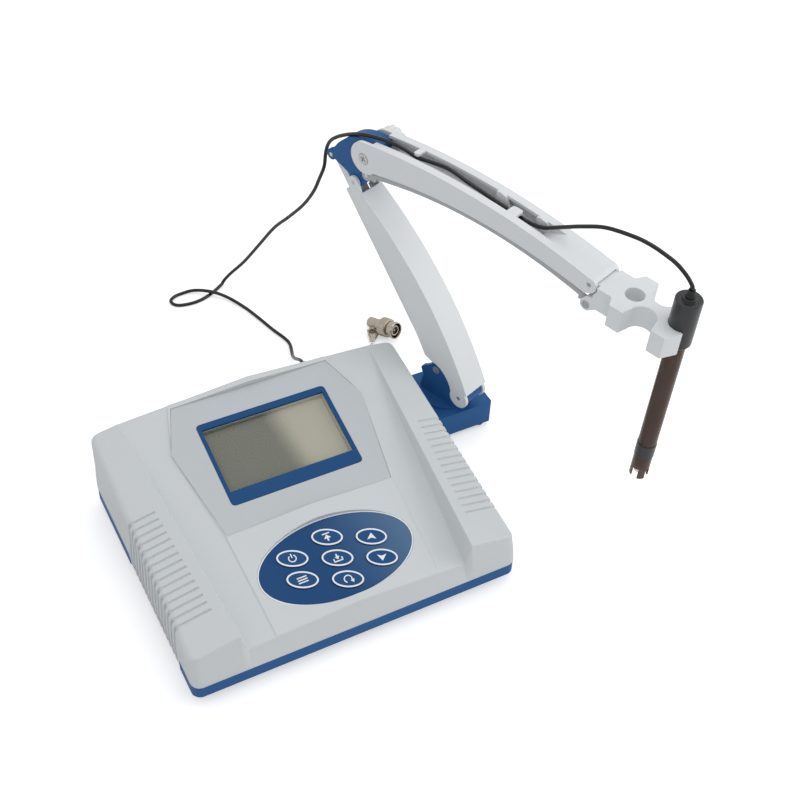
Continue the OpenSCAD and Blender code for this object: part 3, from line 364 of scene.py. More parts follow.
def smooth_path(p):
    """Curve through the points p, with PATH_STEPS steps between each two."""
    def pick(i):
        return Vector(p[max(0, min(len(p) - 1, i))])
    out = []
    for i in range(len(p) - 1):
        a, b, c, d = pick(i - 1), pick(i), pick(i + 1), pick(i + 2)
        for k in range(PATH_STEPS):
            t = k / PATH_STEPS
            out.append(0.5 * (2 * b + (c - a) * t + (2 * a - 5 * b + 4 * c - d) * t * t
                              + (3 * b - a - 3 * c + d) * t ** 3))
    out.append(Vector(p[-1]))
    return out


# rings of a tube's domed end: (distance past the end, radius), both as shares of the tube's radius
DOME = ((0.5, 0.6), (0.25, 0.88))


def tube(path, r, sides=20, side=Vector((0.3, 0.2, 1)), rounded=True):
    """Closed tube along a path, with domed ends."""
    path = [Vector(p) for p in path]
    n = len(path)
    points, faces = [], []
    u = None
    rings = []
    for i in range(n):
        t = (path[min(i + 1, n - 1)] - path[max(i - 1, 0)]).normalized()
        u = (side if u is None else u)
        u = (u - t * u.dot(t)).normalized()
        v = t.cross(u)
        rings.append((path[i], t, u, v, r))
    if rounded:
        c, t, u, v, q = rings[0]
        start = [(c - t * q * past, t, u, v, q * wide) for past, wide in DOME]
        c, t, u, v, q = rings[-1]
        rings = start + rings + [(c + t * q * past, t, u, v, q * wide) for past, wide in reversed(DOME)]
    for c, t, u, v, q in rings:
        for k in range(sides):
            a = 2 * math.pi * k / sides
            points.append(c + u * q * math.cos(a) + v * q * math.sin(a))
    for i in range(len(rings) - 1):
        for k in range(sides):
            a, b = i * sides + k, i * sides + (k + 1) % sides
            faces.append([a, b, b + sides, a + sides])
    faces.append(list(range(sides))[::-1])
    faces.append([(len(rings) - 1) * sides + k for k in range(sides)])
    return points, faces


def lathe(profile, origin, axis, sides=48, flute=None):
    """Closed turned shape; profile is (along, radius) from one end on the axis to the other.

    flute(along, angle) adds to the radius."""
    axis = Vector(axis).normalized()
    u = axis.orthogonal().normalized()
    v = axis.cross(u)
    points, faces = [], []
    for z, r in profile:
        for k in range(sides):
            a = 2 * math.pi * k / sides
            q = r + (flute(z, a) if flute and r > 0.05 else 0)
            points.append(Vector(origin) + axis * z + (u * math.cos(a) + v * math.sin(a)) * max(q, 0.001))
    for i in range(len(profile) - 1):
        for k in range(sides):
            a, b = i * sides + k, i * sides + (k + 1) % sides
            faces.append([a, b, b + sides, a + sides])
    faces.append(list(range(sides))[::-1])
    faces.append([(len(profile) - 1) * sides + k for k in range(sides)])
    return points, faces


def prism(outline, z0, z1, place):
    """Outline (x, y) raised from z0 to z1, each point put in its place by place(x, y, z)."""
    n = len(outline)
    points = [place(x, y, z0) for x, y in outline] + [place(x, y, z1) for x, y in outline]
    faces = [list(range(n))[::-1], [n + i for i in range(n)]]
    faces += [[i, (i + 1) % n, n + (i + 1) % n, n + i] for i in range(n)]
    return points, faces


def ring_prism(outer, inner, z0, z1, place):
    """As prism, with a hole; both outlines have as many points."""
    n = len(outer)
    points = []
    for z in (z0, z1):
        points += [place(x, y, z) for x, y in outer] + [place(x, y, z) for x, y in inner]
    faces = []
    for i in range(n):
        j = (i + 1) % n
        faces.append([2 * n + i, 2 * n + j, 3 * n + j, 3 * n + i])
        faces.append([j, i, n + i, n + j])
        faces.append([i, j, 2 * n + j, 2 * n + i])
        faces.append([n + j, n + i, 3 * n + i, 3 * n + j])
    return points, faces


def ellipse(a, b, n=72, cx=0, cy=0, turn=0):
    c, s = math.cos(turn), math.sin(turn)
    out = []
    for i in range(n):
        x, y = a * math.cos(2 * math.pi * i / n), b * math.sin(2 * math.pi * i / n)
        out.append((cx + x * c - y * s, cy + x * s + y * c))
    return out


def rounded_box(w, h, r, cx=0, cy=0, n=8):
    out = []
    for qx, qy, start in ((1, 1, 0), (-1, 1, 90), (-1, -1, 180), (1, -1, 270)):
        for i in range(n + 1):
            a = math.radians(start + 90 * i / n)
            x, y = qx * (w / 2 - r) + r * math.cos(a), qy * (h / 2 - r) + r * math.sin(a)
            out.append((cx + x, cy + y))
    return out


# ---------- the case's top shell ----------

SIDE, FRONT, REAR, CORNER = 109.3, 1.4, 181.0, 6.0
FRONT_EDGE, FRONT_BLEND = 4.8, 24  # the front wall's top edge, and how far back its lean is felt
EDGE_ROUND, FRONT_ROUND = 3.2, 1.2
# steps round those edges, about r * (1 - cos) of 0, 15, 30 ... 90 degrees
ROUND_STEPS = (0, 0.11, 0.43, 0.94, 1.6, 2.37, 3.2)
FRONT_STEPS = (0, 0.04, 0.16, 0.35, 0.6, 0.88, 1.2)

GROOVES, GROOVE_FIRST, GROOVE_PITCH, GROOVE_DEEP, SIDE_DEEP = 15, 29.5, 5.47, 0.95, 1.7
GROOVE_END, GROOVE_END_OUT = 86, 0.078  # inner end of the first groove, and how much further out per mm back
# across one groove: (place, share of the top groove, share of the side groove)
GROOVE_STEPS = ((-1.5, 0, 0), (-1.1, 0, 1), (-0.85, 0, 1), (-0.5, 1, 1),
                (0.5, 1, 1), (0.85, 0, 1), (1.1, 0, 1), (1.5, 0, 0))
GROOVE_END_STEPS = ((0.9, 1), (0.3, 0.9), (-0.1, 0.45), (-0.4, 0), (-1.2, 0))

# heights of the top's surfaces: a height, its rise per mm back and its fall per mm out
SHOULDER_Z, SHOULDER_RISE, SHOULDER_FALL = 37.3, 0.1466, 0.22  # at the place (SHOULDER_X, SHOULDER_Y)
SHOULDER_X, SHOULDER_Y = 108.5, 2
VALLEY_Z, VALLEY_RISE, VALLEY_FALL = 33.05, 0.2289, 0.075  # at the middle of the front
# the leaning inner wall: at height WALL_Z it is at WALL_X, further out per mm back and per mm up
WALL_Z, WALL_X, WALL_OUT, WALL_LEAN = 29.5, 72.7, 0.0358, 0.28
CONSOLE_EDGE = 0.9  # width over which the console falls to the valley
CONSOLE_HALVES = [(0, 54.5), (76, 57.8), (141.5, 67.5), (181, 56)]  # (place from the front, half width)
CREST_ROUND, FOOT_ROUND = 1.7, 1.5


def share(v):
    """Keeps a value between 0 and 1."""
    return min(1, max(0, v))


def ease(t):
    """Share t, with a gentle start and end."""
    return t * t * (3 - 2 * t)


def between(v, pairs):
    """Value at v on the straight lines through the (place, value) pairs."""
    for (a, p), (b, q) in zip(pairs, pairs[1:]):
        if v <= b:
            return p + (q - p) * max(0, (v - a) / (b - a))
    return pairs[-1][1]


def soft_min(a, b, k):
    """The smaller of two, blended where they differ by less than k."""
    h = max(k - abs(a - b), 0) / k
    return min(a, b) - h * h * k / 4


def console_half(y):
    """Half the width of the raised console."""
    return between(y, CONSOLE_HALVES)


def front_shift(y):
    """How far the lean of the front wall moves a place back."""
    return (FRONT_EDGE - FRONT) * max(0, 1 - (y - FRONT) / FRONT_BLEND)


def top_height(x, y):
    """Height of the shell's top: two shoulders, leaning inner walls, a valley and the raised console."""
    x = abs(x)
    shoulder = SHOULDER_Z + SHOULDER_RISE * (y - SHOULDER_Y) + SHOULDER_FALL * (SHOULDER_X - x)
    valley = VALLEY_Z - VALLEY_FALL * x + VALLEY_RISE * y
    console = CONSOLE_Z + math.tan(TILT) * y
    low = valley + max(0, console - valley) * ease(share((console_half(y) - x) / CONSOLE_EDGE + 0.5))
    wall = WALL_Z + (x - WALL_X - WALL_OUT * y) / WALL_LEAN
    return soft_min(shoulder, -soft_min(-low, -wall, FOOT_ROUND), CREST_ROUND)


def meets_wall(y, middle, fall):
    """Where the inner wall meets a surface that is middle high at the middle and falls outwards."""
    return (WALL_X + WALL_OUT * y + WALL_LEAN * (middle - WALL_Z)) / (1 + WALL_LEAN * fall)


def columns(y):
    """Places across half of the shell, from the outside to the middle.

    Each is (place, share of the top groove, share of the side groove)."""
    y += front_shift(y)
    shoulder = SHOULDER_Z + SHOULDER_RISE * (y - SHOULDER_Y) + SHOULDER_FALL * SHOULDER_X
    inner = meets_wall(y, shoulder, SHOULDER_FALL)
    foot = min(meets_wall(y, VALLEY_Z + VALLEY_RISE * y, VALLEY_FALL), inner - 0.05)
    groove = GROOVE_END + GROOVE_END_OUT * (y - GROOVE_FIRST)
    k = console_half(y)
    out = [(SIDE - d, 1, 1 - d / EDGE_ROUND) for d in ROUND_STEPS]
    out += [(x, 1, 0) for x in (SIDE - 4.6, SIDE - CORNER, 99.5, 96)]
    out += [(groove + d, top, 0) for d, top in GROOVE_END_STEPS]
    near = min(1, (inner - foot) / 1.4)
    flat = [inner + d for d in (2.4, 1.2, 0.55, 0.42, 0.3, 0.2, 0.1)]
    flat += [inner - near * d for d in (0, 0.12, 0.26, 0.42)]
    flat += [foot + (inner - foot) * f for f in (0.66, 0.5, 0.34)]
    flat += [foot + near * d for d in (0.42, 0.26, 0.12, 0)]
    flat += [foot - d for d in (0.1, 0.2, 0.3, 0.42, 0.6, 1.4)]
    flat += [(foot + k) / 2 + 1, k + 1.2, k + 0.6, k + 0.25, k, k - 0.25, k - 0.6, k - 1.2, 44, 30, 15]
    out += [(x, 0, 0) for x in flat]
    in_order = [out[0]]
    for x, top, side in out[1:]:
        in_order.append((min(x, in_order[-1][0] - 0.1), top, side))
    return in_order


def rows():
    """Places from front to rear, each as (place, share of the top groove, share of the side groove)."""
    out = [(FRONT + d, 0, 0) for d in FRONT_STEPS + (2.2, 3.6)]
    out += [(y, 0, 0) for y in (FRONT + CORNER, 11, 17, 23, 27)]
    for i in range(GROOVES):
        y = GROOVE_FIRST + GROOVE_PITCH * i
        out += [(y + d, top, side) for d, top, side in GROOVE_STEPS]
        if i < GROOVES - 1:
            out.append((y + GROOVE_PITCH / 2, 0, 0))
    out += [(y, 0, 0) for y in (112, 118, 126, 134, 141.5, 149, 156, 163, 169, REAR - CORNER)]
    out += [(REAR - d, 0, 0) for d in reversed(ROUND_STEPS)]
    return out


MIDDLE = 90  # between the front and rear corners
FAR = 99  # distance given to places that no edge is near


def corner_map(x, y):
    """Rounds the plan's corners.

    Gives the moved place, the distance in from the edge and the edge's outward direction."""
    sx = 1 if x >= 0 else -1
    a = max(0, (abs(x) - (SIDE - CORNER)) / CORNER)
    near_front = y < MIDDLE
    b = max(0, ((FRONT + CORNER - y) if near_front else (y - REAR + CORNER)) / CORNER)
    sy = -1 if near_front else 1
    if a > 0 and b > 0:
        m = max(a, b)
        phi = math.pi / 4 * (b / a if a >= b else 2 - a / b)
        cx, cy = SIDE - CORNER, (FRONT + CORNER) if near_front else (REAR - CORNER)
        x, y = sx * (cx + CORNER * m * math.cos(phi)), cy + sy * CORNER * m * math.sin(phi)
        return x, y, CORNER * (1 - m), Vector((sx * math.cos(phi), sy * math.sin(phi), 0))
    m = max(a, b)
    out = Vector((sx, 0, 0)) if a >= b else Vector((0, sy, 0))
    return x, y, (CORNER * (1 - m) if m > 0 else FAR), out


FLARE, FLARE_TOP, FLARE_HEIGHT = 0.7, 38, 14  # how far, from what height down, and over what height
REAR_LEAN, REAR_LEAN_FROM, REAR_LEAN_HEIGHT = 2.6, 55, 14
REAR_ZONE, REAR_ZONE_DEEP = 165, 16  # where the lean starts, and the depth over which it grows


def bulge(p):
    """The side walls flare a little towards the seam, and the rear wall leans in near its top."""
    x, y, z = p
    low = ease(share((FLARE_TOP - z) / FLARE_HEIGHT))
    x *= 1 + FLARE * low / SIDE
    high = share((z - REAR_LEAN_FROM) / REAR_LEAN_HEIGHT) * share((y - REAR_ZONE) / REAR_ZONE_DEEP) ** 2
    return Vector((x, y - REAR_LEAN * high, z))


def top_surface():
    """Rows of points over the top, and for each how far forward its wall leans down to the seam."""
    grid, back = [], []
    for y, top, side in rows():
        half = columns(y)
        row = []
        for x, a, b in half + [(0, 0, 0)] + [(-x, a, b) for x, a, b in reversed(half)]:
            px, py, edge, out = corner_map(x, y)
            shift = front_shift(py)
            back.append(shift + FRONT * (1 - min(1, py / MIDDLE)))
            py += shift
            r = EDGE_ROUND - (EDGE_ROUND - FRONT_ROUND) * abs(min(0, out.y))
            drop, lean = 0, 0
            if edge < r:
                lean = (r - edge) / r
                drop = r - math.sqrt(max(0, r * r - (r - edge) ** 2))
            z = top_height(px, py) - drop
            deep = max(top * a * GROOVE_DEEP, side * b * SIDE_DEEP)
            n = out * lean + UP * math.sqrt(max(0, 1 - lean * lean))
            row.append(Vector((px, py, z)) - n * deep)
        grid.append(row)
    return grid, back


WALL_STEPS = (0.1, 0.22, 0.34, 0.46, 0.56, 0.64, 0.74, 0.86, 0.955, 1.0)  # shares of the way to the seam
# at the seam all walls but the grooves step in; the front and rear walls are before and past these places
SEAM_INSET, FRONT_WALL, REAR_WALL, INSET_FADE = 0.35, 20, 160, 60


def top_shell():
    """The top surface, with walls that go down from its rim to the seam, and a flat underside."""
    grid, back = top_surface()
    tall, wide = len(grid), len(grid[0])
    points = [p for row in grid for p in row]
    faces = []
    for i in range(tall - 1):
        for k in range(wide - 1):
            a = i * wide + k
            faces.append([a, a + 1, a + 1 + wide, a + wide])
    grooved = [side for y, top, side in rows()]
    rim = list(range(wide)) + [i * wide + wide - 1 for i in range(1, tall)]
    rim += [(tall - 1) * wide + k for k in range(wide - 2, -1, -1)]
    rim += [i * wide for i in range(tall - 2, 0, -1)]
    last = rim
    for s in WALL_STEPS:
        line = []
        for v in rim:
            p = points[v]
            in_groove = v % wide in (0, wide - 1) and grooved[v // wide]
            inset = SEAM_INSET if s == 1 and not in_groove else 0
            x = p.x - math.copysign(inset, p.x) * min(1, abs(p.x) / INSET_FADE)
            y = p.y - s * back[v] + (inset if p.y < FRONT_WALL else -inset if p.y > REAR_WALL else 0)
            points.append(Vector((x, y, p.z + (SEAM - p.z) * s)))
            line.append(len(points) - 1)
        for i in range(len(rim)):
            j = (i + 1) % len(rim)
            faces.append([last[i], last[j], line[j], line[i]])
        last = line
    faces.append(last[::-1])
    return [bulge(p) for p in points], faces


SKIRT_OUT, SKIRT_IN, SKIRT_LOW, SKIRT_UP = 109.95, 107.8, 7.4, SEAM + 0.6
SKIRT_FRONT, SKIRT_REAR = 25, 113


def skirt(sign):
    """The grooved strip that reaches down over the lower shell, a little inwards near its foot."""
    groove = SKIRT_OUT - SIDE_DEEP + 0.2
    comb = [(SKIRT_FRONT, SKIRT_IN), (SKIRT_FRONT + 0.5, SKIRT_OUT)]
    for i in range(GROOVES):
        y = GROOVE_FIRST + GROOVE_PITCH * i
        comb += [(y - 1.5, SKIRT_OUT), (y - 1.1, groove), (y + 1.1, groove), (y + 1.5, SKIRT_OUT)]
    comb += [(SKIRT_REAR - 0.5, SKIRT_OUT), (SKIRT_REAR, SKIRT_IN)]

    def put(y, x, z):
        return Vector((sign * (x - 0.5 * max(0, 9 - z)), y, z))

    return prism(comb, SKIRT_LOW, SKIRT_UP, put)


def carve(o, cutters):
    """Cuts pockets, then keeps the result as the piece's own mesh, crisp at its edges."""
    group = bpy.data.collections.new("cutters")
    bpy.context.scene.collection.children.link(group)
    for i, (points, faces) in enumerate(cutters):
        c = make("cutter_%d" % i, points, faces, SHELL)
        bpy.context.scene.collection.objects.unlink(c)
        group.objects.link(c)
    cut = o.modifiers.new("cut", "BOOLEAN")
    cut.operation = "DIFFERENCE"
    cut.operand_type = "COLLECTION"
    cut.collection = group
    cut.solver = "EXACT"
    bpy.context.view_layer.update()
    mesh = bpy.data.meshes.new_from_object(o.evaluated_get(bpy.context.evaluated_depsgraph_get()))
    o.modifiers.clear()
    o.data = mesh
    for c in list(group.objects):
        bpy.data.objects.remove(c)
    bpy.data.collections.remove(group)
    mesh.set_sharp_from_angle(angle=math.radians(30))


KEYS, KEYS_Y, KEY_ACROSS, KEY_UP, KEY_STAGGER = 7, 38.4, 26, 15.6, 2.35


def key_place(k):
    """Centre of key k: columns of two, three and two, each a little lower than the one on its left."""
    col = -1 if k < 2 else 0 if k < 5 else 1
    row = 0.5 - k if k < 2 else 3 - k if k < 5 else 5.5 - k
    return col * KEY_ACROSS, KEYS_Y - col * KEY_STAGGER + row * KEY_UP


# on the console: half of the overlay's outline, and centres of the window, the display and the keypad
OVERLAY_HALF = [(57.05, 78.25), (67.65, 145.4), (55.55, 178.65)]
OVERLAY_SHAPE = OVERLAY_HALF + [(-x, y) for x, y in reversed(OVERLAY_HALF)]
WINDOW_Y, DISPLAY_Y, KEYPAD_Y = 128.4, 131.1, 39.3
SOCKETS = [(-74, 18.5), (94, 18.5), (94, 51.5), (-74, 51.5)]  # opening of the rear panel, as (x, z)
ABOVE = 8  # height above the console that clears every cutter's top

case_top = make("case_top", *top_shell(), SHELL, sharp=44)
cuts = [prism(OVERLAY_SHAPE, -0.6, ABOVE, on_console),
        prism(rounded_box(91.5, 64.2, 3, 0, WINDOW_Y), -1.95, ABOVE, on_console),
        prism(rounded_box(86, 49.2, 0.4, 0, DISPLAY_Y), -4.3, ABOVE, on_console),
        prism(ellipse(51.85, 28.55, 96, 0, KEYPAD_Y), -1.0, ABOVE, on_console)]
cuts += [prism(ellipse(3, 3, 24, *key_place(k)), -7, ABOVE, on_console) for k in range(KEYS)]
cuts.append(prism(SOCKETS, 0, 8, lambda x, z, d: Vector((x, REAR - 1 + d, z))))
carve(case_top, cuts)
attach(case_top, "case")
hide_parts("top_shell")
make("case_skirts", *join([skirt(1), skirt(-1)]), SHELL, "case", slot="shell")

# ---------- printed outlines and marks ----------

outer, inner = ellipse(51.7, 28.4, 96, 0, KEYPAD_Y), ellipse(50.9, 27.6, 96, 0, KEYPAD_Y)
make("keypad_outline", *ring_prism(outer, inner, 0.05, 0.16, on_console), WHITE_INK, "case", slot="shell")


def bar(x, y, w, h):
    """Rectangle round a centre."""
    return [(x - w / 2, y - h / 2), (x + w / 2, y - h / 2), (x + w / 2, y + h / 2), (x - w / 2, y + h / 2)]


def arc(r, angles):
    return [(r * math.cos(t), r * math.sin(t)) for t in angles]


def arc_band(r, width, start, end, n=18):
    """Part of a ring round the middle, from start to end in degrees."""
    a = [math.radians(start + (end - start) * i / n) for i in range(n + 1)]
    return arc(r, a) + arc(r - width, a[::-1])


def turned(shape, degrees):
    c, s = math.cos(math.radians(degrees)), math.sin(math.radians(degrees))
    return [(x * c - y * s, x * s + y * c) for x, y in shape]


# a mark on each key, as shapes round the key's centre
MARKS = {
    "power": [arc_band(2.7, 0.7, 125, 415), bar(0, 1.9, 0.75, 3.0)],
    "mode": [bar(0, 1.7, 6.4, 0.8), bar(0, 0, 6.4, 0.8), bar(0, -1.7, 6.4, 0.8)],
    "maximum": [bar(0, 2.5, 5.0, 0.8), [(0, 1.7), (-2.4, -0.9), (2.4, -0.9)], bar(0, -1.8, 1.1, 1.9)],
    "store": [bar(0, -2.2, 6.0, 0.8), bar(-2.7, -1.1, 0.8, 2.0), bar(2.7, -1.1, 0.8, 2.0),
              [(0, -1.2), (1.7, 0.9), (-1.7, 0.9)], bar(0, 1.8, 1.0, 1.9)],
    "reset": [arc_band(2.8, 0.75, -35, 235), [(3.6, -1.0), (0.9, -1.5), (2.7, -3.4)]],
    "up": [turned([(0, 2.6), (-3, -2), (0, -0.9), (3, -2)], -16)],
    "down": [turned([(0, -2.6), (3, 2), (0, 0.9), (-3, 2)], -16)],
}
KEY_TURN = math.radians(-23)
RING_OUT = ellipse(9.9, 5.7, 64, turn=KEY_TURN)
RING_IN = ellipse(8.8, 4.65, 64, turn=KEY_TURN)

for k, (name, shapes) in enumerate(MARKS.items()):
    x, y = key_place(k)

    def put(px, py, z, x=x, y=y):
        return on_console(x + px, y + py, z)

    parts = [ring_prism(RING_OUT, RING_IN, 0.9, 1.08, put)]
    parts += [prism(s, 0.95, 1.06, put) for s in shapes]
    make("mark_" + name, *join(parts), WHITE_INK, "key_" + name, slot="shell")

# ---------- leads ----------

R = 1.3
LOW = R + 0.1  # height of a lead that lies on the table


def by_elbow(x, across, up):
    """Point given from the upper arm's pivot at the elbow."""
    return arm(PIVOT_C.x + x, PIVOT_C.y + up, across)


# the lead's course, from the case, over the table, up behind the arm and along it to the electrode
TAIL = [(56, 207, 34), (56, 211, 34), (56.3, 215.4, 33.3), (57.2, 222, 29.3), (59.3, 234, 19.6),
        (65, 252, 5.5), (70, 268, LOW), (69.4, 276, LOW), (65.1, 289.7, LOW), (60.5, 307.2, LOW),
        (55.4, 323.9, LOW), (46.8, 340, LOW + 1.4), (37, 349.5, LOW + 3), (26.6, 358.1, LOW + 1.2),
        (16.8, 359.8, LOW), (10.3, 358.4, LOW), (6.2, 354.9, LOW), (7, 349.7, LOW), (11.8, 346.5, LOW),
        (21.7, 345.3, LOW), (31.5, 347.1, LOW), (40.8, 351.5, LOW), (48.5, 356.2, LOW + 0.2),
        (49.5, 356.9, LOW + 0.4)]
GROUND = -PIVOT_C.y  # the table's height, from the elbow pivot
DROP = [by_elbow(*p) for p in (
    (-150.6, -12, GROUND + LOW + 0.4), (-150.3, -9.6, GROUND + 4.6), (-144.5, -8, GROUND + 13.5),
    (-130.4, -5, GROUND + 32.2), (-114, -4, GROUND + 56.6), (-97.5, -2.5, -113.2), (-81.7, -2, -94.9),
    (-66.6, -2, -76.3), (-56.2, -2, -59.4), (-50.1, -2, -45), (-45.5, -2, -32.5), (-43.9, -2, -20),
    (-40.7, -2.2, -10.9), (-34.7, -2.6, -4), (-23.8, -3.2, 3.8), (-10.6, -4.4, 11), (1.2, -4, 14.2),
    (9, -3.2, 15.4))]
RUN = [by_elbow(*p) for p in (
    (9, -3.2, 15.4), (20, -2.2, 15.9), (28, -1.2, 14.9), (36, -0.3, 13.3), (46, 1, 14.2), (61, 2, 15.5),
    (77, 2, 13.2), (94, 2, 11.3), (109, 2, 9.4), (117, 2, 9), (126, 2, 8.2), (133.3, 1.8, 9))]
ELECTRODE_X = 58.6  # from the holder's pivot forward to the electrode's axis
LEAD = [by_elbow(*p) for p in (
    (133.3, 1.8, 9), (139, 1.6, 11.2), (149.3, 0.8, 17.6), (166.2, 0, 27.7), (182, 0, 35.1),
    (201.7, 0, 38.9), (213, 0, 39.1), (221.6, 0, 37.9), (229.3, 0, 36.1), (236, 0, 32.8), (240.8, 0, 29))]
LEAD += [at_holder(ELECTRODE_X, 28.2), at_holder(ELECTRODE_X, 23)]


def lead_part(name, path, body=None, node="cable_lead"):
    return make(name, *tube(path, R), CABLE, body, replaces=[node], slot="rubber")


lead_part("lead_tail", smooth_path(TAIL), "case", "cable_tail")

# the drop is made in three stretches, each listed with the two bodies that its ends are held by
drop = smooth_path(DROP)
TO_ARM, TO_ELBOW = 6 * PATH_STEPS, 11 * PATH_STEPS
STRETCHES = [("turret", "case", 0, TO_ARM), ("lower_arm", "turret", TO_ARM, TO_ELBOW),
             ("elbow", "lower_arm", TO_ELBOW, len(drop) - 1)]
for i, (upper, lower, first, last) in enumerate(STRETCHES):
    part = drop[first:last + 1]
    o = lead_part("lead_drop_%d" % i, part, node="cable_drop")
    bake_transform(o)

lead_part("lead_run", smooth_path(RUN), "upper_arm", "cable_run")

# the last length bends over the gap to the holder, then down to the electrode
lead = smooth_path(LEAD)
BEND = 50  # the point of the path where the two stretches meet
o = lead_part("lead_arm", lead[:BEND + 1])
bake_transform(o)
o = lead_part("lead_electrode", lead[BEND:])
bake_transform(o)

# ---------- balance springs ----------

SPRING_SIDE, SPRING_REAR, COIL, WIRE, TURNS, TURN_SIDES = 5.4, 2.2, 1.6, 0.42, 40, 12
SPRING_LOW, SPRING_LONG = 34, 96  # along the lower arm from its foot pivot


def spring(side):
    """Coil spring at one side of the lower arm, behind the arm's axis."""
    steps = TURNS * TURN_SIDES
    coil = []
    for i in range(steps + 1):
        a = 2 * math.pi * i / TURN_SIDES
        along = SPRING_LOW + SPRING_LONG * i / steps
        coil.append(along_lower(along, SPRING_REAR + COIL * math.cos(a), side + COIL * math.sin(a)))
    return tube(coil, WIRE, sides=6, rounded=False)


def spring_rod(side):
    """Rod from the spring's top end on towards the elbow."""
    path = [along_lower(129.5, SPRING_REAR, side), along_lower(136, 3, side), along_lower(161, 4.5, side)]
    return tube(path, 1.0, sides=12)


foot_bar = tube([along_lower(32, 4.5, -8.1), along_lower(32, 4.5, 8.1)], 1.2, sides=16, side=UP)
parts = [part for side in (-SPRING_SIDE, SPRING_SIDE) for part in (spring(side), spring_rod(side))]
parts.append(foot_bar)
make("springs", *join(parts), STEEL, "lower_arm", replaces=["balance_springs"], slot="steel")

# ---------- loose shorting plug and its chain ----------

PLUG = Vector((140.6, 252.1, 7.15))
TURN, LIFT = math.radians(-68), math.radians(13.5)
AXIS = Vector((math.cos(TURN) * math.cos(LIFT), math.sin(TURN) * math.cos(LIFT), math.sin(LIFT)))
EYE = Vector((133.6, 254.6, 3.6))
EYE_AXIS = (-0.52, -0.82, 0.24)


def knurl(z, a):
    return 0.2 * math.sin(36 * a) if 0.8 < z < 7.4 else 0


def fine_knurl(z, a):
    return 0.12 * math.sin(16 * a)


body = [(-4, 0), (-4, 4.2), (-3.6, 4.6), (-0.4, 4.6), (0, 5.2), (0.3, 6.9), (0.9, 7.2), (4, 7.25), (7.2, 7.2),
        (7.9, 6.6), (8, 5.3), (9.1, 5.2), (9.3, 6.0), (9.8, 6.2), (12.4, 6.2), (12.7, 6.6), (14.2, 6.65),
        (14.6, 6.4), (14.6, 5.8), (14.0, 5.6), (5.5, 5.4), (5.4, 0)]
ferrule = [(-13, 0), (-13, 3.6), (-12.6, 4.0), (-4.4, 4.0), (-4, 3.6), (-4, 0)]
insert = [(5, 0), (5, 4.2), (13.4, 4.2), (13.7, 3.9), (13.7, 3.0), (9, 2.8), (9, 0)]
contact = [(5, 0), (5, 1.0), (12.6, 1.0), (13.2, 0.5), (13.3, 0)]
eyelet = [(-2.4, 0), (-2.4, 2.6), (-2.1, 2.9), (1.6, 2.9), (1.9, 2.6), (1.9, 2.0), (1.2, 1.9), (1.2, 0)]
parts = [lathe(body, PLUG, AXIS, 144, knurl), lathe(ferrule, PLUG, AXIS, 96, fine_knurl),
         lathe(insert, PLUG, AXIS), lathe(contact, PLUG, AXIS, 20), lathe(eyelet, EYE, EYE_AXIS, 40)]
make("loose_plug", *join(parts), NICKEL, "case", replaces=["shorting_plug"], slot="nickel")

# chain from the panel's lug to the strap round the plug, sagging until it lies on the table
CHAIN_START, CHAIN_END = Vector((84, 184.6, 25)), Vector((127.4, 243, 2.4))
CHAIN_STEPS, SAG, CHAIN_REST = 60, 52, 1.9
LINK_LONG, LINK_HALF, LINK_WIRE, LINK_SIDES = 1.55, 0.95, 0.3, 14


def chain_path():
    out = []
    for i in range(CHAIN_STEPS + 1):
        f = i / CHAIN_STEPS
        p = CHAIN_START + (CHAIN_END - CHAIN_START) * f
        p.z = max(CHAIN_REST, p.z - SAG * f * (1 - f))
        out.append(p)
    return out


def chain_link(p, along, turned_over):
    """Oval loop of wire; every other one is turned a quarter round the chain."""
    u = along.orthogonal().normalized()
    w = u if turned_over else along.cross(u)
    loop = []
    for k in range(LINK_SIDES + 1):
        a = 2 * math.pi * k / LINK_SIDES
        loop.append(p + along * LINK_LONG * math.cos(a) + w * LINK_HALF * math.sin(a))
    return tube(loop, LINK_WIRE, sides=6, rounded=False)


path = chain_path()
parts = []
for i in range(0, CHAIN_STEPS, 2):
    parts.append(chain_link(path[i], (path[i + 2] - path[i]).normalized(), (i // 2) % 2))
lug = [(0, 0), (0, 3.0), (0.8, 3.0), (1.0, 2.6), (1.0, 0)]
parts.append(lathe(lug, Vector((82, 181, 27)), (0, 1, 0), 32))
make("chain", *join(parts), NICKEL, "case", replaces=["plug_chain"], slot="nickel")

# flat strap from the chain's end to the eyelet, with two rolled edges
corner = [EYE + Vector((-3.2, 1.6, -1.0)), EYE + Vector((4.0, -3.6, -1.2)), Vector((129.2, 243.6, 1.6)),
          Vector((127.2, 245.0, 1.6))]
over = [q + Vector((0.1, 0.2, 0.8)) for q in corner]
sides = [[i, (i + 1) % 4, 4 + (i + 1) % 4, 4 + i] for i in range(4)]
parts = [(corner + over, [[3, 2, 1, 0], [4, 5, 6, 7]] + sides)]
for a, b in ((0, 3), (1, 2)):
    parts.append(tube([corner[a] + UP * 0.6, corner[b] + UP * 0.6], 0.75, sides=10))
make("strap", *join(parts), NICKEL, "case", slot="nickel")

# ---------- stage ----------

floor_mat = bpy.data.materials.new("floor")
floor_mat.use_nodes = True
t = floor_mat.node_tree
b = t.nodes["Principled BSDF"]
noise = t.nodes.new("ShaderNodeTexNoise")
noise.inputs["Scale"].default_value = 3
ramp = t.nodes.new("ShaderNodeMix")
ramp.data_type = "RGBA"
ramp.inputs["A"].default_value = (0.8, 0.8, 0.8, 1)
ramp.inputs["B"].default_value = (0.82, 0.82, 0.82, 1)
t.links.new(noise.outputs["Fac"], ramp.inputs["Factor"])
t.links.new(ramp.outputs["Result"], b.inputs["Base Color"])
b.inputs["Roughness"].default_value = 0.8
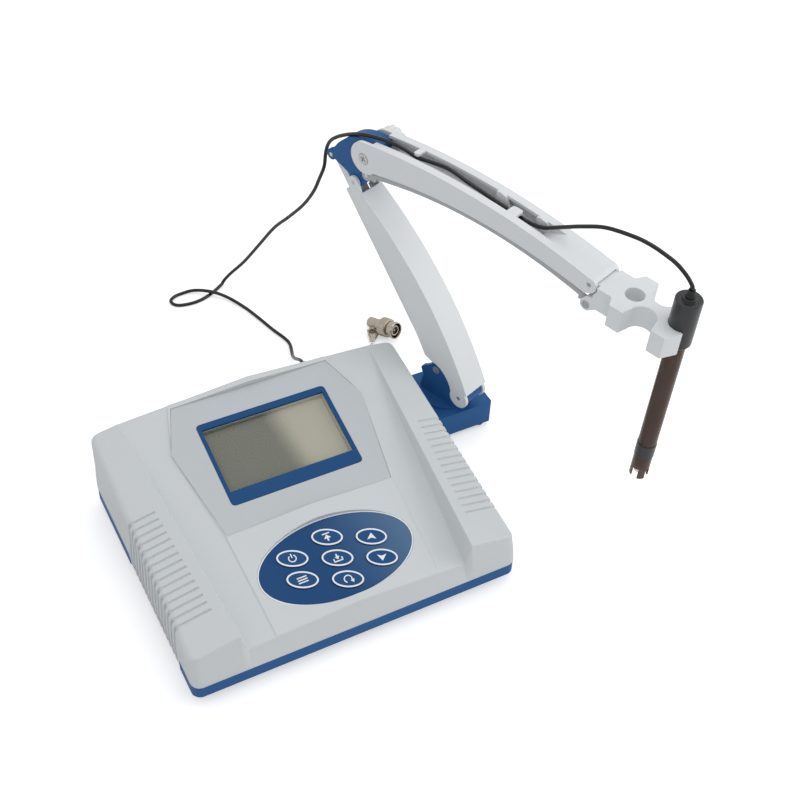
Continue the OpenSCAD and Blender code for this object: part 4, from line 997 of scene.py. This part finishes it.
# the floor looks a little brighter to the camera than the light it throws back
FLOOR_GLOW = 0.46
glow = t.nodes.new("ShaderNodeLightPath")
lift = t.nodes.new("ShaderNodeMath")
lift.operation = "MULTIPLY"
lift.inputs[1].default_value = FLOOR_GLOW
t.links.new(glow.outputs["Is Camera Ray"], lift.inputs[0])
t.links.new(lift.outputs["Value"], b.inputs["Emission Strength"])
b.inputs["Emission Color"].default_value = (1, 1, 1, 1)
mesh = bpy.data.meshes.new("floor")
mesh.from_pydata([(-4, -3, 0), (4, -3, 0), (4, 5, 0), (-4, 5, 0)], [], [[0, 1, 2, 3]])
mesh.materials.append(floor_mat)
floor = bpy.data.objects.new("floor", mesh)
bpy.context.scene.collection.objects.link(floor)

world = bpy.data.worlds.new("studio")
bpy.context.scene.world = world
world.use_nodes = True
world.node_tree.nodes["Background"].inputs["Color"].default_value = (0.98, 0.99, 1, 1)
world.node_tree.nodes["Background"].inputs["Strength"].default_value = 0.74


def softbox(name, place, aim, size, power):
    """Rectangular light; places and size in metres, power in watts."""
    data = bpy.data.lights.new(name, "AREA")
    data.shape = "RECTANGLE"
    data.size, data.size_y = size
    data.energy = power
    o = bpy.data.objects.new(name, data)
    o.location = place
    o.rotation_euler = (Vector(aim) - Vector(place)).to_track_quat("-Z", "Y").to_euler()
    bpy.context.scene.collection.objects.link(o)


softbox("key", (0.35, 0.35, 1.6), (0.08, 0.12, 0), (1.1, 1.1), 4)
softbox("fill", (1.35, -0.45, 0.7), (0.05, 0.1, 0.08), (0.9, 0.7), 5)

# ---------- camera ----------

AZ, EL, ROLL = math.radians(-30.75), math.radians(42.22), math.radians(3.82)
TARGET, DISTANCE = Vector((159.37, 216.21, 0)), 1037.92
back = Vector((math.sin(AZ) * math.cos(EL), -math.cos(AZ) * math.cos(EL), math.sin(EL)))
right = (-back).cross(UP).normalized()
up = right.cross(-back)
c, s = math.cos(ROLL), math.sin(ROLL)
right, up = right * c + up * s, up * c - right * s
eye = (TARGET + back * DISTANCE) * MM
cam = bpy.data.cameras.new("photo")
cam.lens = 60.92
cam.sensor_width = 36
cam.shift_x, cam.shift_y = -0.03095, -0.05745
cam.clip_start, cam.clip_end = 0.05, 20
camera = bpy.data.objects.new("photo", cam)
camera.matrix_world = Matrix(((right.x, up.x, back.x, eye.x), (right.y, up.y, back.y, eye.y),
                              (right.z, up.z, back.z, eye.z), (0, 0, 0, 1)))
bpy.context.scene.collection.objects.link(camera)
bpy.context.scene.camera = camera
bpy.context.scene.view_settings.view_transform = "Standard"
